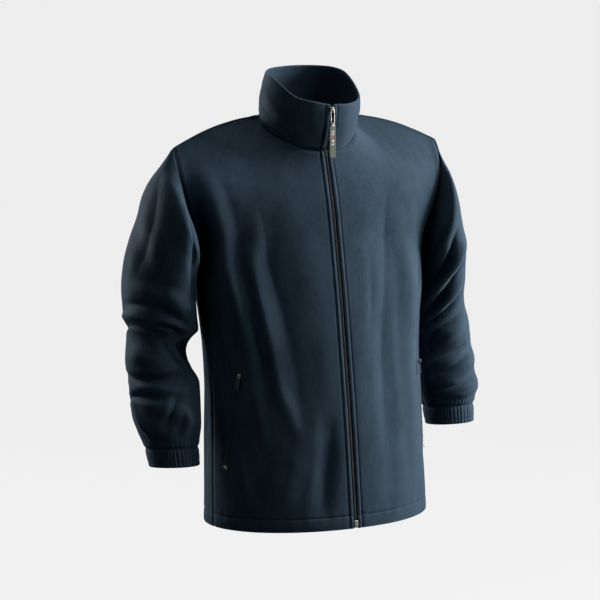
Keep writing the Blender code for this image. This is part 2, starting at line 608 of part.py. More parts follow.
def add_tape(side, front, inner, line, out, finish):
    """Behind the front it follows the panel's points; in the collar it shows at the edge only."""
    panel_rows = len(front) - 1
    layers = []
    for depth in TAPE_DEPTHS:
        edge = line - out * depth
        rows = []
        for row, (y, z) in enumerate(edge):
            start = [TAPE_FROM, y, z]
            if row < panel_rows:
                step = inner[row, 1] - inner[row, 0]
                step = step * TAPE_BEHIND / step[0]
                rows.append([start, [FRONT_OPENING, y, z],
                             [FRONT_OPENING + step[0], y + step[1], z + step[2]]])
            else:
                rows.append([start, [(TAPE_FROM + TAPE_IN_COLLAR) / 2, y, z],
                             [TAPE_IN_COLLAR, y, z]])
        layers.append(np.array(rows))
    add_wall("zip_tape_" + side, placed_on(side, layers[0]), placed_on(side, layers[1]), finish)


def length_along(line):
    steps = np.linalg.norm(np.diff(line, axis=0), axis=1)
    return np.concatenate([[0], np.cumsum(steps)])


def place_on_front(line, height):
    """A frame on the front edge line, at a height along it from the hem."""
    run = length_along(line)
    spot = [np.interp(height, run, line[:, k]) for k in (0, 1)]
    ahead = [np.interp(height + 0.004, run, line[:, k]) for k in (0, 1)]
    before = [np.interp(height - 0.004, run, line[:, k]) for k in (0, 1)]
    up = (0, ahead[0] - before[0], ahead[1] - before[1])
    return frame_at((0, *spot), (1, 0, 0), up)


def add_block(name, size, placed, finish, rounding_width):
    """A rounded block, centred in its frame; its size is across, along and out."""
    shape = bmesh.new()
    bmesh.ops.create_cube(shape, size=1.0)
    bmesh.ops.scale(shape, vec=size, verts=shape.verts)
    bmesh.ops.bevel(shape, geom=shape.edges[:], offset=rounding_width, segments=2,
                    affect="EDGES", profile=0.5)
    mesh = bpy.data.meshes.new(name)
    shape.to_mesh(mesh)
    shape.free()
    mesh.shade_smooth()
    mesh.set_sharp_from_angle(angle=radians(40))
    made = add_object(name, mesh, finish)
    made.matrix_world = placed
    return made


def wire_mesh(name, points, radius, cyclic=False):
    """A round wire along points, as a mesh with its caps welded."""
    curve = bpy.data.curves.new(name, "CURVE")
    curve.dimensions = "3D"
    curve.bevel_depth = radius
    curve.bevel_resolution = 2
    curve.use_fill_caps = True
    spline = curve.splines.new("POLY")
    spline.points.add(len(points) - 1)
    for spot, place in zip(spline.points, points):
        spot.co = (*place, 1)
    spline.use_cyclic_u = cyclic
    guide = bpy.data.objects.new(name + "_guide", curve)
    bpy.context.scene.collection.objects.link(guide)
    graph = bpy.context.evaluated_depsgraph_get()
    mesh = bpy.data.meshes.new_from_object(guide.evaluated_get(graph))
    bpy.data.objects.remove(guide)
    shape = bmesh.new()
    shape.from_mesh(mesh)
    bmesh.ops.remove_doubles(shape, verts=shape.verts, dist=0.00001)
    bmesh.ops.recalc_face_normals(shape, faces=shape.faces)
    shape.to_mesh(mesh)
    shape.free()
    mesh.shade_smooth()
    return mesh


def combine(target, mesh, operation, placed):
    """Joins a mesh to an object, or cuts it away, by a Boolean that is applied at once."""
    cutter = bpy.data.objects.new(target.name + "_cutter", mesh)
    bpy.context.scene.collection.objects.link(cutter)
    cutter.matrix_world = placed
    step = target.modifiers.new("combine", "BOOLEAN")
    step.operation = operation
    step.object = cutter
    graph = bpy.context.evaluated_depsgraph_get()
    finished = bpy.data.meshes.new_from_object(target.evaluated_get(graph))
    target.modifiers.remove(step)
    target.data = finished
    bpy.data.objects.remove(cutter)


def add_arched_slider(name, size, placed, height, finish):
    """A slider body with a wire arch on its face, which the pull hangs from."""
    made = add_block(name, size, placed, finish, 0.0008)
    low = size[2] / 2 - ARCH_SUNK
    shoulder = height * ARCH_SHOULDER
    bend = ARCH_HALF_LENGTH * ARCH_BEND
    arch = [(0, -ARCH_HALF_LENGTH, low), (0, -ARCH_HALF_LENGTH, shoulder), (0, -bend, height),
            (0, bend, height), (0, ARCH_HALF_LENGTH, shoulder), (0, ARCH_HALF_LENGTH, low)]
    combine(made, wire_mesh(name + "_arch", arch, ARCH_WIRE), "UNION", placed)
    return made


def add_link(name, placed, finish):
    """A wire loop whose upper bar is the pivot at the origin; it hangs along -z."""
    ring = []
    for side, middle_z, start in ((1, -LINK_CORNER, 0), (-1, -LINK_CORNER, 90),
                                  (-1, LINK_CORNER - LINK_LENGTH, 180),
                                  (1, LINK_CORNER - LINK_LENGTH, 270)):
        for turn in np.radians([start, start + 45, start + 90]):
            ring.append((side * (LINK_HALF_WIDTH - LINK_CORNER) + LINK_CORNER * cos(turn), 0,
                         middle_z + LINK_CORNER * sin(turn)))
    mesh = wire_mesh(name, ring, LINK_WIRE, cyclic=True)
    made = add_object(name, mesh, finish)
    made.matrix_world = placed
    return made


def cylinder_mesh(radius, length):
    """A cylinder along x."""
    shape = bmesh.new()
    bmesh.ops.create_cone(shape, cap_ends=True, segments=16, radius1=radius, radius2=radius,
                          depth=length, matrix=Matrix.Rotation(pi / 2, 4, "Y"))
    mesh = bpy.data.meshes.new("cylinder")
    shape.to_mesh(mesh)
    shape.free()
    return mesh


def add_tab(name, placed, finish):
    """The rubber puller: a flat tab under an eye that turns on the link's lower bar."""
    middle = Matrix.Translation((0, 0, -TAB_BELOW_LINK - TAB_SIZE[2] / 2))
    made = add_block(name, TAB_SIZE, placed @ middle, finish, 0.0010)
    made.data.transform(middle)
    made.matrix_world = placed
    combine(made, cylinder_mesh(EYE_RADIUS, EYE_WIDTH), "UNION", placed)
    shape = bmesh.new()
    bmesh.ops.create_cube(shape, size=1.0)
    neck_length = TAB_BELOW_LINK + 2 * TAB_NECK_OVERLAP
    bmesh.ops.scale(shape, vec=(EYE_WIDTH, TAB_NECK_THICKNESS, neck_length), verts=shape.verts)
    neck = bpy.data.meshes.new("neck")
    shape.to_mesh(neck)
    shape.free()
    down = Matrix.Translation((0, 0, -TAB_BELOW_LINK / 2 - TAB_NECK_OVERLAP))
    combine(made, neck, "UNION", placed @ down)
    combine(made, cylinder_mesh(EYE_HOLE, EYE_WIDTH * 2), "DIFFERENCE", placed)
    return made


def build_front_zip(fronts):
    tape = material("zip_tape", (0.012, 0.018, 0.026), 0.8)
    metal = material("zip_metal", (0.62, 0.62, 0.60), 0.35, 0.9)
    coil = material("zip_coil", (0.03, 0.03, 0.035), 0.5)
    rubber = material("zip_puller", (0.16, 0.17, 0.15), 0.6)
    line, out = front_edge_line(fronts["left"][0])
    for side, (front, inner) in fronts.items():
        add_tape(side, front, inner, line, out, tape)
    run = length_along(line)
    start = BOX_HEIGHT + BOX_SIZE[1] / 2 + SEAM_GAP
    end = run[-1] - SLIDER_BELOW_TOP - SLIDER_SIZE[1] / 2 - SEAM_GAP
    heights = np.concatenate([[start], run[(run > start) & (run < end)], [end]])
    coil_line = np.stack([np.interp(heights, run, line[:, k]) for k in (0, 1)], -1)
    coil_out = unit(np.stack([np.interp(heights, run, out[:, k]) for k in (0, 1)], -1))
    xs = np.array([[-COIL_HALF_WIDTH, 0, COIL_HALF_WIDTH]])
    strip_wall("zip_coil", xs, coil_line, coil_out, COIL_DEPTHS, coil)
    sunk = Matrix.Translation((0, 0, -BOX_DEPTH))
    add_block("zip_box", BOX_SIZE, place_on_front(line, BOX_HEIGHT) @ sunk, metal, 0.0007)
    placed = place_on_front(line, run[-1] - SLIDER_BELOW_TOP)
    placed = placed @ Matrix.Translation((0, 0, -SLIDER_DEPTH))
    add_arched_slider("zip_slider", SLIDER_SIZE, placed, ARCH_HEIGHT, metal)
    pivot = placed @ Vector((0, 0, PIVOT_HEIGHT))
    add_link("zip_link", Matrix.Translation(pivot), metal)
    low = pivot + Vector((0, 0, -LINK_LENGTH))
    add_tab("zip_puller", Matrix.Translation(low), rubber)


def on_panel(grid, share, level):
    """The point and outward direction on a left panel's facets, at a share and a level."""
    across = share * (grid.shape[1] - 1)
    column_index = int(across)
    row_index = int(level)
    u = across - column_index
    v = level - row_index
    a, b = grid[row_index, column_index], grid[row_index, column_index + 1]
    c, d = grid[row_index + 1, column_index + 1], grid[row_index + 1, column_index]
    if u > v:
        point, normal = a + (b - a) * u + (c - b) * v, np.cross(b - a, c - a)
    else:
        point, normal = a + (c - d) * u + (d - a) * v, np.cross(c - a, d - a)
    return point, unit(normal)


def build_pocket(side, front):
    """A zip laid on the front, its slider at the top, with a pull that turns on the arch."""
    tape = bpy.data.materials["zip_coil"]
    metal = bpy.data.materials["zip_metal"]
    puller = bpy.data.materials["zip_puller"]
    shares = np.linspace(POCKET_BOTTOM[0], POCKET_TOP[0], POCKET_STEPS + 1)
    rows = np.linspace(POCKET_BOTTOM[1], POCKET_TOP[1], POCKET_STEPS + 1)
    spots = [on_panel(front, share, row) for share, row in zip(shares, rows)]
    middle = np.array([spot[0] for spot in spots])
    out = unit(sum(spot[1] for spot in spots))
    along = unit(np.gradient(middle, axis=0))
    sideways = unit(np.cross(along, out))
    places = np.array([-1.0, 0.0, 1.0])[None, :, None] * POCKET_ZIP_HALF_WIDTH
    layers = [middle[:, None] + sideways[:, None] * places + out * height
              for height in POCKET_ZIP_HEIGHTS]
    add_wall("pocket_zip_" + side, placed_on(side, layers[1]), placed_on(side, layers[0]), tape)

    def frame(spot, height):
        right = placed_on(side, sideways[-1]) * (1 if side == "left" else -1)
        return frame_at(placed_on(side, spot + out * height), right, placed_on(side, along[-1]))

    slider_at = middle[-1] - along[-1] * POCKET_SLIDER_FROM_END
    placed = frame(slider_at, POCKET_SLIDER_HEIGHT)
    add_arched_slider("pocket_slider_" + side, POCKET_SLIDER_SIZE, placed, POCKET_ARCH_HEIGHT, metal)
    stop = frame(middle[0] + along[0] * POCKET_STOP_FROM_END, POCKET_STOP_HEIGHT)
    add_block("pocket_stop_" + side, POCKET_STOP_SIZE, stop, metal, 0.0004)
    pivot = frame(slider_at, POCKET_PIVOT_HEIGHT)
    length, thick = POCKET_PULL_SIZE[1:]
    bar = Matrix.Translation((0, -length / 2 + thick / 2, 0))
    pull = add_block("pocket_pull_" + side, POCKET_PULL_SIZE, pivot @ bar, puller, 0.0003)
    pull.data.transform(bar)
    pull.matrix_world = pivot
    window = bmesh.new()
    bmesh.ops.create_cube(window, size=1.0)
    bmesh.ops.scale(window, vec=PULL_WINDOW_SIZE, verts=window.verts)
    hole = bpy.data.meshes.new("window")
    window.to_mesh(hole)
    window.free()
    combine(pull, hole, "DIFFERENCE", pivot @ Matrix.Translation((0, -PULL_WINDOW_BELOW, 0)))


def clear_scene():
    for old in list(bpy.data.objects):
        bpy.data.objects.remove(old)


def main():
    clear_scene()
    made = bpy.data.collections.new("fleece_zip_jacket")
    bpy.context.scene.collection.children.link(made)
    fronts = build_cloth()
    build_front_zip(fronts)
    for side, (front, _) in fronts.items():
        build_pocket(side, front)


main()
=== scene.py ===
import json
from math import cos, pi, radians, sin

import bmesh
import bpy
import numpy as np
from mathutils import Matrix, Vector, noise


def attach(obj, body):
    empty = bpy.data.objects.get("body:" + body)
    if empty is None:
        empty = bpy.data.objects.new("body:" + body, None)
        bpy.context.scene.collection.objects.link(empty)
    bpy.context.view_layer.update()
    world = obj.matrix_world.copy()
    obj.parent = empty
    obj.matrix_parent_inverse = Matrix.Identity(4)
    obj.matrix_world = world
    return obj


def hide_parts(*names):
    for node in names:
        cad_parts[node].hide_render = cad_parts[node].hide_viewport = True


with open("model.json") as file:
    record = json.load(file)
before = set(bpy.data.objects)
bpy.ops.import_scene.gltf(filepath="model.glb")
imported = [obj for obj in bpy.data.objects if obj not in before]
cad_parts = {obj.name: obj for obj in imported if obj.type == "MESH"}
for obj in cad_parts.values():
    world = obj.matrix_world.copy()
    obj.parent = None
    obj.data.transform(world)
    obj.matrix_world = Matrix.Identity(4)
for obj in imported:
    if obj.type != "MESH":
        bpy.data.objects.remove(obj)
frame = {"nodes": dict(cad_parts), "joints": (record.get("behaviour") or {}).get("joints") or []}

bl_info = {
    "name": "Fleece zip jacket",
    "version": (1, 0, 0),
    "blender": (4, 5, 0),
    "location": "View3D > Sidebar > Jacket",
    "description": "Builds the cloth, zips and studio of a fleece zip jacket",
    "category": "Object",
}

# ---------------------------------------------------------------- the form, in metres
# The front faces -Y, the wearer's left is +X and the origin is midway between the shoulders.
CLOTH = 0.0020             # fleece, single layer
CUFF_CLOTH = 0.0030        # cuff casing, fleece folded over the elastic
COLLAR_CLOTH = 0.0045      # collar, two layers turned at the top edge
SEAM_GAP = 0.0003          # kept between any two pieces
SLEEVE_DRAW = 1.4 * SEAM_GAP  # that the sleeve's edge stands out from the armhole's
FRONT_OPENING = 0.0045     # from the middle of the zip to each front edge
FRONT_COLUMNS = 12         # of one front, of which FRONT_NECK_COLUMNS end at the neckline
BACK_COLUMNS = 22
FRONT_NECK_COLUMNS = 5
BACK_NECK_COLUMNS = 4      # to each side of the centre back
BODY_ROWS = 12             # hem to underarm
ARMHOLE_ROWS = 10          # underarm to shoulder
SLEEVE_ROWS = 23
COLLAR_ROWS = 4
TOP_LEVEL = BODY_ROWS + ARMHOLE_ROWS
EASED_ROWS = slice(BODY_ROWS + 2, TOP_LEVEL)  # the chest and yoke, which the cloth spans smoothly
EASING_ROUNDS = 6
SHOULDER_POINT = (0.254, -0.008, -0.042)
SHOULDER_RISE = 0.010      # crown of the shoulder seam over its chord

# One row for each level of the body. Levels count the panel rows up from the hem. front_y and
# back_y lie on the centre lines. The edges are where the panels end, on the side seam and then
# round the armhole. A turn is how far round a panel has curved there, in degrees, and a fall
# over 1 draws a ring in towards its sides, as the chest does under the shoulders. A crowding
# under 1 sets the columns closer towards the edge, so that they fan out from the neckline.
BODY_COLUMNS = ("level", "front_z", "edge_z", "back_z", "edge_x", "front_y", "front_edge_y",
                "back_edge_y", "back_y", "front_turn", "back_turn", "fall", "crowding")
BODY_TABLE = (
    (0.0, -0.685, -0.688, -0.690, 0.2050, -0.190, -0.056, -0.056, 0.102, 84, 96, 1.0, 1.00),
    (2.6, -0.586, -0.588, -0.590, 0.2015, -0.178, -0.047, -0.047, 0.098, 86, 94, 1.0, 1.00),
    (5.1, -0.490, -0.490, -0.490, 0.1987, -0.165, -0.041, -0.041, 0.095, 87, 93, 1.0, 1.00),
    (7.6, -0.395, -0.395, -0.395, 0.1990, -0.150, -0.030, -0.030, 0.098, 89, 91, 1.0, 1.00),
    (10.1, -0.302, -0.300, -0.300, 0.2095, -0.135, -0.018, -0.018, 0.107, 91, 89, 0.9, 0.97),
    (12.0, -0.240, -0.236, -0.238, 0.2160, -0.123, -0.001, -0.001, 0.115, 92, 88, 0.9, 0.92),
    (14.4, -0.194, -0.188, -0.190, 0.2280, -0.114, -0.030, 0.028, 0.117, 80, 80, 1.1, 0.84),
    (17.0, -0.146, -0.137, -0.136, 0.2440, -0.104, -0.037, 0.038, 0.112, 74, 74, 1.3, 0.76),
    (19.5, -0.100, -0.087, -0.082, 0.2525, -0.091, -0.032, 0.027, 0.096, 68, 68, 1.5, 0.68),
)

# The neckline seam, by the angle from the centre front.
NECK_HALF_WIDTH = 0.0845
NECK_FRONT_Y = -0.077
NECK_BACK_Y = 0.064
NECK_COLUMNS = ("angle", "z")
NECK_TABLE = ((0, -0.0525), (30, -0.045), (55, -0.029), (85, -0.010), (108, 0.007),
              (140, 0.013), (180, 0.015))
SHOULDER_SEAM_ANGLE = 108

# The collar's top edge. Its right side stands taller than the left, which is turned down.
COLLAR_HALF_WIDTH = 0.083
COLLAR_SHIFT = 0.007       # the back of its top edge stands a little to the left
COLLAR_FRONT_Y = -0.098
COLLAR_SIDE_Y = -0.0174
COLLAR_BACK_Y = 0.064
COLLAR_SWELL = 0.004       # the middle of its height stands out from the straight line
COLLAR_SEAM_GAP = 3 * SEAM_GAP
COLLAR_TOP_COLUMNS = ("angle", "z")
COLLAR_TOP_TABLE = ((-180, 0.087), (-140, 0.084), (-110, 0.078), (-85, 0.072), (-60, 0.055),
                    (-38, 0.036), (-18, 0.031), (0, 0.026), (37, 0.029), (65, 0.038),
                    (80, 0.048), (95, 0.064), (112, 0.079), (140, 0.086), (180, 0.087))

# One row for each ring of a sleeve, given for the left one: the outermost and innermost
# points, the middle of the ring in y, half of its width front to back, and how much its front
# stands higher than its middle.
SLEEVE_COLUMNS = ("outer_x", "outer_z", "inner_x", "inner_z", "middle_y", "half_depth", "rise")
SLEEVE_TABLE = (
    (0.2805, -0.096, 0.2195, -0.243, -0.004, 0.080, 0.000),
    (0.3045, -0.170, 0.2185, -0.268, 0.006, 0.085, 0.000),
    (0.3210, -0.240, 0.2150, -0.298, 0.016, 0.085, 0.000),
    (0.3230, -0.295, 0.2100, -0.335, 0.022, 0.086, 0.004),
    (0.3200, -0.338, 0.2090, -0.368, 0.018, 0.074, 0.006),
    (0.3250, -0.390, 0.2100, -0.405, 0.010, 0.067, 0.006),
    (0.3290, -0.450, 0.2130, -0.460, -0.006, 0.064, 0.006),
    (0.3240, -0.510, 0.2180, -0.515, -0.023, 0.058, 0.005),
    (0.3130, -0.548, 0.2260, -0.550, -0.032, 0.046, 0.005),
)
# How far the outer side of each sleeve stands from the table's, at the shoulder and the cuff.
SLEEVE_SPREAD = {"left": (-0.010, 0.005), "right": (0.007, 0.004)}
CUFF_LENGTH = 0.030
CUFF_ROWS = 2
LEFT_SLEEVE_PUSHED_UP = 0.028  # more of the left sleeve is bunched above its elbow
SLEEVE_POINTS = 2 * ARMHOLE_ROWS
PUSHED_UP_FROM = -0.20     # z where the pushed-up sleeve starts to rise
PUSHED_UP_OVER = 0.35      # height over which it comes to its full rise
CUFF_DRAWN_IN = 0.05       # of its radius, by the elastic at its end

# The largest folds. A spot is (place along a row, row), rows counting up a panel from the hem or
# down a sleeve from the armhole, and places from the zip, from the back's left side seam or from
# the underarm forwards. The width is from the fold's crest to where it has died away, and the
# height is how far its crest stands out, or in where it is below 0.
FOLD_COLUMNS = ("piece", "start", "middle", "end", "width", "height")
FOLD_TABLE = (
    ("front_right", (8.4, 19.2), (7.6, 13.6), (6.9, 7.4), 0.030, 0.0075),
    ("front_right", (4.2, 16.4), (5.3, 10.8), (4.6, 4.8), 0.030, 0.0060),
    ("front_right", (6.3, 14.0), (6.3, 9.6), (5.9, 5.6), 0.022, -0.0050),
    ("front_right", (5.9, 0.6), (4.9, 2.2), (3.7, 3.9), 0.036, 0.0050),
    ("front_right", (2.3, 1.0), (1.8, 2.6), (1.5, 4.6), 0.026, -0.0040),
    ("front_left", (4.5, 15.2), (6.3, 8.8), (6.5, 3.2), 0.040, 0.0055),
    ("front_left", (8.4, 12.6), (8.2, 9.4), (8.7, 6.4), 0.026, -0.0040),
    ("front_left", (2.6, 9.5), (3.3, 5.4), (2.9, 1.2), 0.034, -0.0035),
    ("back", (5.2, 19.0), (6.0, 12.4), (7.6, 6.4), 0.036, 0.0060),
    ("back", (16.6, 18.0), (15.6, 11.6), (14.2, 4.4), 0.036, 0.0060),
    ("back", (10.2, 12.6), (10.9, 7.4), (10.4, 1.6), 0.034, -0.0055),
    ("back", (2.6, 10.2), (3.4, 5.8), (3.0, 1.4), 0.030, 0.0050),
    ("back", (19.8, 9.6), (18.8, 5.2), (19.4, 1.0), 0.030, 0.0050),
    ("sleeve_right", (11.6, 11.7), (6.2, 12.0), (1.6, 11.7), 0.026, 0.0060),
    ("sleeve_right", (11.0, 13.4), (6.0, 13.3), (1.8, 13.1), 0.022, -0.0065),
    ("sleeve_right", (5.0, 13.4), (2.4, 13.5), (0.0, 13.7), 0.030, -0.020),
    ("sleeve_right", (4.8, 14.4), (2.2, 14.5), (0.0, 14.7), 0.046, -0.020),
    ("sleeve_right", (11.6, 15.2), (7.6, 15.6), (4.4, 14.6), 0.028, 0.0040),
    ("sleeve_right", (11.4, 17.6), (6.8, 17.7), (2.6, 15.4), 0.024, -0.0065),
    ("sleeve_right", (8.2, 18.9), (5.6, 19.4), (2.8, 20.9), 0.022, 0.0045),
    ("sleeve_right", (11.0, 20.2), (8.8, 20.7), (6.0, 22.0), 0.022, 0.0035),
    ("sleeve_right", (12.4, 4.0), (9.4, 6.2), (6.4, 9.2), 0.034, -0.0045),
    ("sleeve_right", (19.0, 12.2), (16.0, 12.9), (13.2, 13.3), 0.024, -0.0055),
    ("sleeve_right", (18.6, 17.4), (15.8, 16.6), (13.0, 17.0), 0.026, -0.0050),
    ("sleeve_left", (6.8, 4.6), (4.4, 6.0), (2.0, 8.4), 0.026, -0.0055),
    ("sleeve_left", (8.0, 6.6), (5.0, 7.6), (2.6, 9.8), 0.026, 0.0045),
    ("sleeve_left", (7.2, 9.4), (4.8, 10.2), (2.2, 11.8), 0.024, -0.0060),
    ("sleeve_left", (8.2, 14.4), (5.4, 15.0), (2.2, 15.4), 0.030, 0.0050),
    ("sleeve_left", (9.0, 17.0), (5.6, 17.0), (2.0, 17.2), 0.021, -0.0045),
    ("sleeve_left", (9.0, 19.4), (6.0, 19.6), (2.4, 19.3), 0.021, -0.0060),
    ("sleeve_left", (8.6, 21.0), (6.0, 21.1), (2.8, 20.9), 0.020, 0.0035),
    ("sleeve_left", (18.8, 11.8), (16.0, 12.6), (12.6, 12.4), 0.024, -0.0055),
    ("sleeve_left", (18.2, 17.0), (15.4, 16.2), (12.4, 17.2), 0.024, -0.0050),
)
FOLD_STEPS = 25
FOLD_FADE_CELLS = 2.0      # a fold dies away over these from a seam

# Front zip. A depth is measured inwards from the front edges, and a height along the zip.
TAPE_DEPTH = CLOTH + 2 * SEAM_GAP
TAPE_CLOTH = 0.0008
TAPE_WIDTH = 0.0110
TAPE_FROM_MIDDLE = 0.0001
COIL_SUNK = 0.0014         # the wire's middle under the front edges
COIL_HALF_WIDTH = 0.0019
COIL_PITCH = 0.0015
COIL_WIRE = 0.00052        # radius
BOX_SIZE = (0.0072, 0.0110, 0.0030)
BOX_HEIGHT = 0.0070        # of its middle above the hem
SLIDER_SIZE = (0.0072, 0.0095, 0.0036)
SLIDER_BELOW_TOP = 0.0070
ARCH_HALF_LENGTH = 0.0029
ARCH_HEIGHT = 0.0056       # of its wire's middle over the middle of the slider
ARCH_WIRE = 0.0008         # radius
LINK_WIRE = 0.0007         # radius
LINK_HALF_WIDTH = 0.0031
LINK_LENGTH = 0.0230
LINK_CORNER = 0.0012
TAB_SIZE = (0.0110, 0.0030, 0.0540)
TAB_BELOW_LINK = 0.0032    # top of the wide part under the link's lower bar
EYE_RADIUS = 0.0023
EYE_WIDTH = 0.0038
TAB_NECK_THICKNESS = 0.0024

# Pocket zips, one on each front, by the share across the front and the panel row.
POCKET_TOP = (0.672, 6.97)
POCKET_BOTTOM = (0.842, 2.72)
POCKET_ZIP_HALF_WIDTH = 0.0028
POCKET_LINE_STEPS = 60
POCKET_TAPE_HEIGHTS = (0.0001, 0.0006)
POCKET_COIL_HEIGHT = 0.0009
POCKET_COIL_HALF_WIDTH = 0.0012
POCKET_COIL_PITCH = 0.0014
POCKET_COIL_WIRE = 0.00045  # radius
BARTACK_STITCHES = 12
BARTACK_LENGTH = 0.0040
BARTACK_PAST_END = 0.0002
BARTACK_CROWN = 0.0004


def column(table, names, name):
    return np.array([row[names.index(name)] for row in table], float)


def through(knots, values, at):
    """A smooth curve through values at rising knots, read at each place in at."""
    knots = np.asarray(knots, float)
    values = np.asarray(values, float)
    at = np.atleast_1d(np.asarray(at, float))
    steps = np.diff(knots)
    shape = (-1,) + (1,) * (values.ndim - 1)
    slopes = np.diff(values, axis=0) / steps.reshape(shape)
    before = np.concatenate([slopes[:1], slopes])
    after = np.concatenate([slopes, slopes[-1:]])
    weight = np.concatenate([[0.5], steps[1:] / (steps[:-1] + steps[1:]), [0.5]]).reshape(shape)
    tangents = before * weight + after * (1 - weight)
    cell = np.clip(np.searchsorted(knots, at, side="right") - 1, 0, len(steps) - 1)
    width = steps[cell].reshape(shape)
    t = ((at - knots[cell]) / steps[cell]).reshape(shape)
    return ((2 * t**3 - 3 * t**2 + 1) * values[cell] + (t**3 - 2 * t**2 + t) * width * tangents[cell]
            + (3 * t**2 - 2 * t**3) * values[cell + 1] + (t**3 - t**2) * width * tangents[cell + 1])


def from_table(table, names, name, along, at):
    return through(column(table, names, along), column(table, names, name), at)


def points_of(x, y, z):
    return np.stack(np.broadcast_arrays(x, y, z), axis=-1).astype(float)


def oval(angle, half_width, front_y, side_y, back_y):
    """x and y on a ring made of a front and a back half ellipse; the angle starts at the front."""
    depth = np.where(np.cos(angle) > 0, side_y - front_y, back_y - side_y)
    return half_width * np.sin(angle), side_y - depth * np.cos(angle)


def rounding(turn, fall):
    """How far from the centre line towards the edge a curve has gone back, at each turn."""
    return 1 - np.sign(np.cos(turn)) * np.abs(np.cos(turn)) ** fall


def unit(vectors):
    return vectors / np.maximum(np.linalg.norm(vectors, axis=-1, keepdims=True), 1e-9)


# ---------------------------------------------------------------- the body panels


def neckline(angle_deg):
    angle = np.radians(angle_deg)
    x, y = oval(angle, NECK_HALF_WIDTH, NECK_FRONT_Y, 0.0, NECK_BACK_Y)
    return points_of(x, y, from_table(NECK_TABLE, NECK_COLUMNS, "z", "angle", np.abs(angle_deg)))


def shoulder_seam(share):
    """The left shoulder seam, from the neckline (0) to the shoulder point (1)."""
    share = np.asarray(share, float)[:, None]
    start = neckline(np.array([SHOULDER_SEAM_ANGLE]))[0]
    line = start + (np.array(SHOULDER_POINT) - start) * share
    line[:, 2] += SHOULDER_RISE * np.sin(pi * share[:, 0])
    return line


def top_edge(shares, neck_share, neck_from, neck_to):
    """Neckline, then shoulder seam, of a left panel, for shares of its width from the centre."""
    on_neck = shares <= neck_share + 1e-9
    angles = neck_from + (neck_to - neck_from) * np.clip(shares / neck_share, 0, 1)
    line = neckline(angles)
    seam = shoulder_seam(np.clip((shares - neck_share) / (1 - neck_share), 0, 1))
    line[~on_neck] = seam[~on_neck]
    return line


def body_row(level_index, shares, at_back):
    """One table row of a left panel, for shares of its width from the centre line."""
    row = dict(zip(BODY_COLUMNS, BODY_TABLE[level_index]))
    side = "back" if at_back else "front"
    end = radians(row[side + "_turn"])
    shares = shares ** row["crowding"]
    x = row["edge_x"] * np.sin(end * shares) / sin(end)
    way = rounding(end * shares, row["fall"]) / rounding(end, row["fall"])
    y = row[side + "_y"] + (row[side + "_edge_y"] - row[side + "_y"]) * way
    z = row[side + "_z"] + (row["edge_z"] - row[side + "_z"]) * np.sin(pi / 2 * shares) ** 2
    return points_of(x, y, z)


def opening_at(shares):
    """How far each column of a left front stands out, so that the first is the front edge."""
    return FRONT_OPENING * np.clip(1 - shares * FRONT_COLUMNS / FRONT_NECK_COLUMNS, 0, 1)


def neighbours(grid):
    """The mean of the four points round each inner point of a grid."""
    return (grid[:-2, 1:-1] + grid[2:, 1:-1] + grid[1:-1, :-2] + grid[1:-1, 2:]) / 4


def left_panel(shares, levels, at_back):
    """Points (level, share, xyz) on the outer face of the left front or the left half back."""
    if at_back:
        top = top_edge(shares, 2 * BACK_NECK_COLUMNS / BACK_COLUMNS, 180, SHOULDER_SEAM_ANGLE)
    else:
        top = top_edge(shares, FRONT_NECK_COLUMNS / FRONT_COLUMNS, 0, SHOULDER_SEAM_ANGLE)
    rows = [body_row(i, shares, at_back) for i in range(len(BODY_TABLE))] + [top]
    knots = list(column(BODY_TABLE, BODY_COLUMNS, "level")) + [TOP_LEVEL]
    grid = through(knots, np.array(rows), levels)
    for _ in range(EASING_ROUNDS):
        grid[EASED_ROWS, 1:-1] += 0.5 * (neighbours(grid) - grid[1:-1, 1:-1])[EASED_ROWS.start - 1:]
    if not at_back:
        grid[..., 0] += opening_at(shares)
    return grid


def mirrored(points):
    return points * np.array([-1.0, 1.0, 1.0])


def placed_on(side, points):
    """Points of a left piece, put on the named side."""
    return points if side == "left" else mirrored(points)


# ---------------------------------------------------------------- the sleeves


def sleeve_ring(row, spread):
    """One table row as points that run from the underarm over the front to the shoulder."""
    values = dict(zip(SLEEVE_COLUMNS, row))
    outer = np.array([values["outer_x"] + spread, values["middle_y"], values["outer_z"]])
    inner = np.array([values["inner_x"], values["middle_y"], values["inner_z"]])
    angle = 2 * pi * np.arange(SLEEVE_POINTS) / SLEEVE_POINTS
    across = np.cos(angle)[:, None]
    forward = np.sin(angle)[:, None]
    depth = np.array([0.0, -values["half_depth"], values["rise"]])
    return (outer + inner) / 2 - across * (outer - inner) / 2 + forward * depth


def sleeve_grid(armhole, spread, pushed_up):
    """Points (ring, place, xyz) of a left sleeve, from the armhole to the cuff seam."""
    spreads = np.linspace(*spread, len(SLEEVE_TABLE))
    rings = [armhole] + [sleeve_ring(row, out) for row, out in zip(SLEEVE_TABLE, spreads)]
    gaps = [np.linalg.norm(b - a, axis=1).mean() for a, b in zip(rings, rings[1:])]
    knots = np.concatenate([[0], np.cumsum(gaps)])
    knots = knots / knots[-1]
    grid = through(knots, np.array(rings), np.linspace(0, 1, SLEEVE_ROWS + 1))
    drop = np.clip((PUSHED_UP_FROM - grid[..., 2]) / PUSHED_UP_OVER, 0, 1)
    grid[..., 2] += pushed_up * drop
    return grid


def on_grid(grid, place, row):
    """The point at fractions of a place and of a row."""
    column_index = min(int(place), grid.shape[1] - 2)
    row_index = min(int(row), grid.shape[0] - 2)
    u = place - column_index
    low, high = grid[row_index], grid[row_index + 1]
    near = low + (high - low) * (row - row_index)
    return near[column_index] * (1 - u) + near[column_index + 1] * u


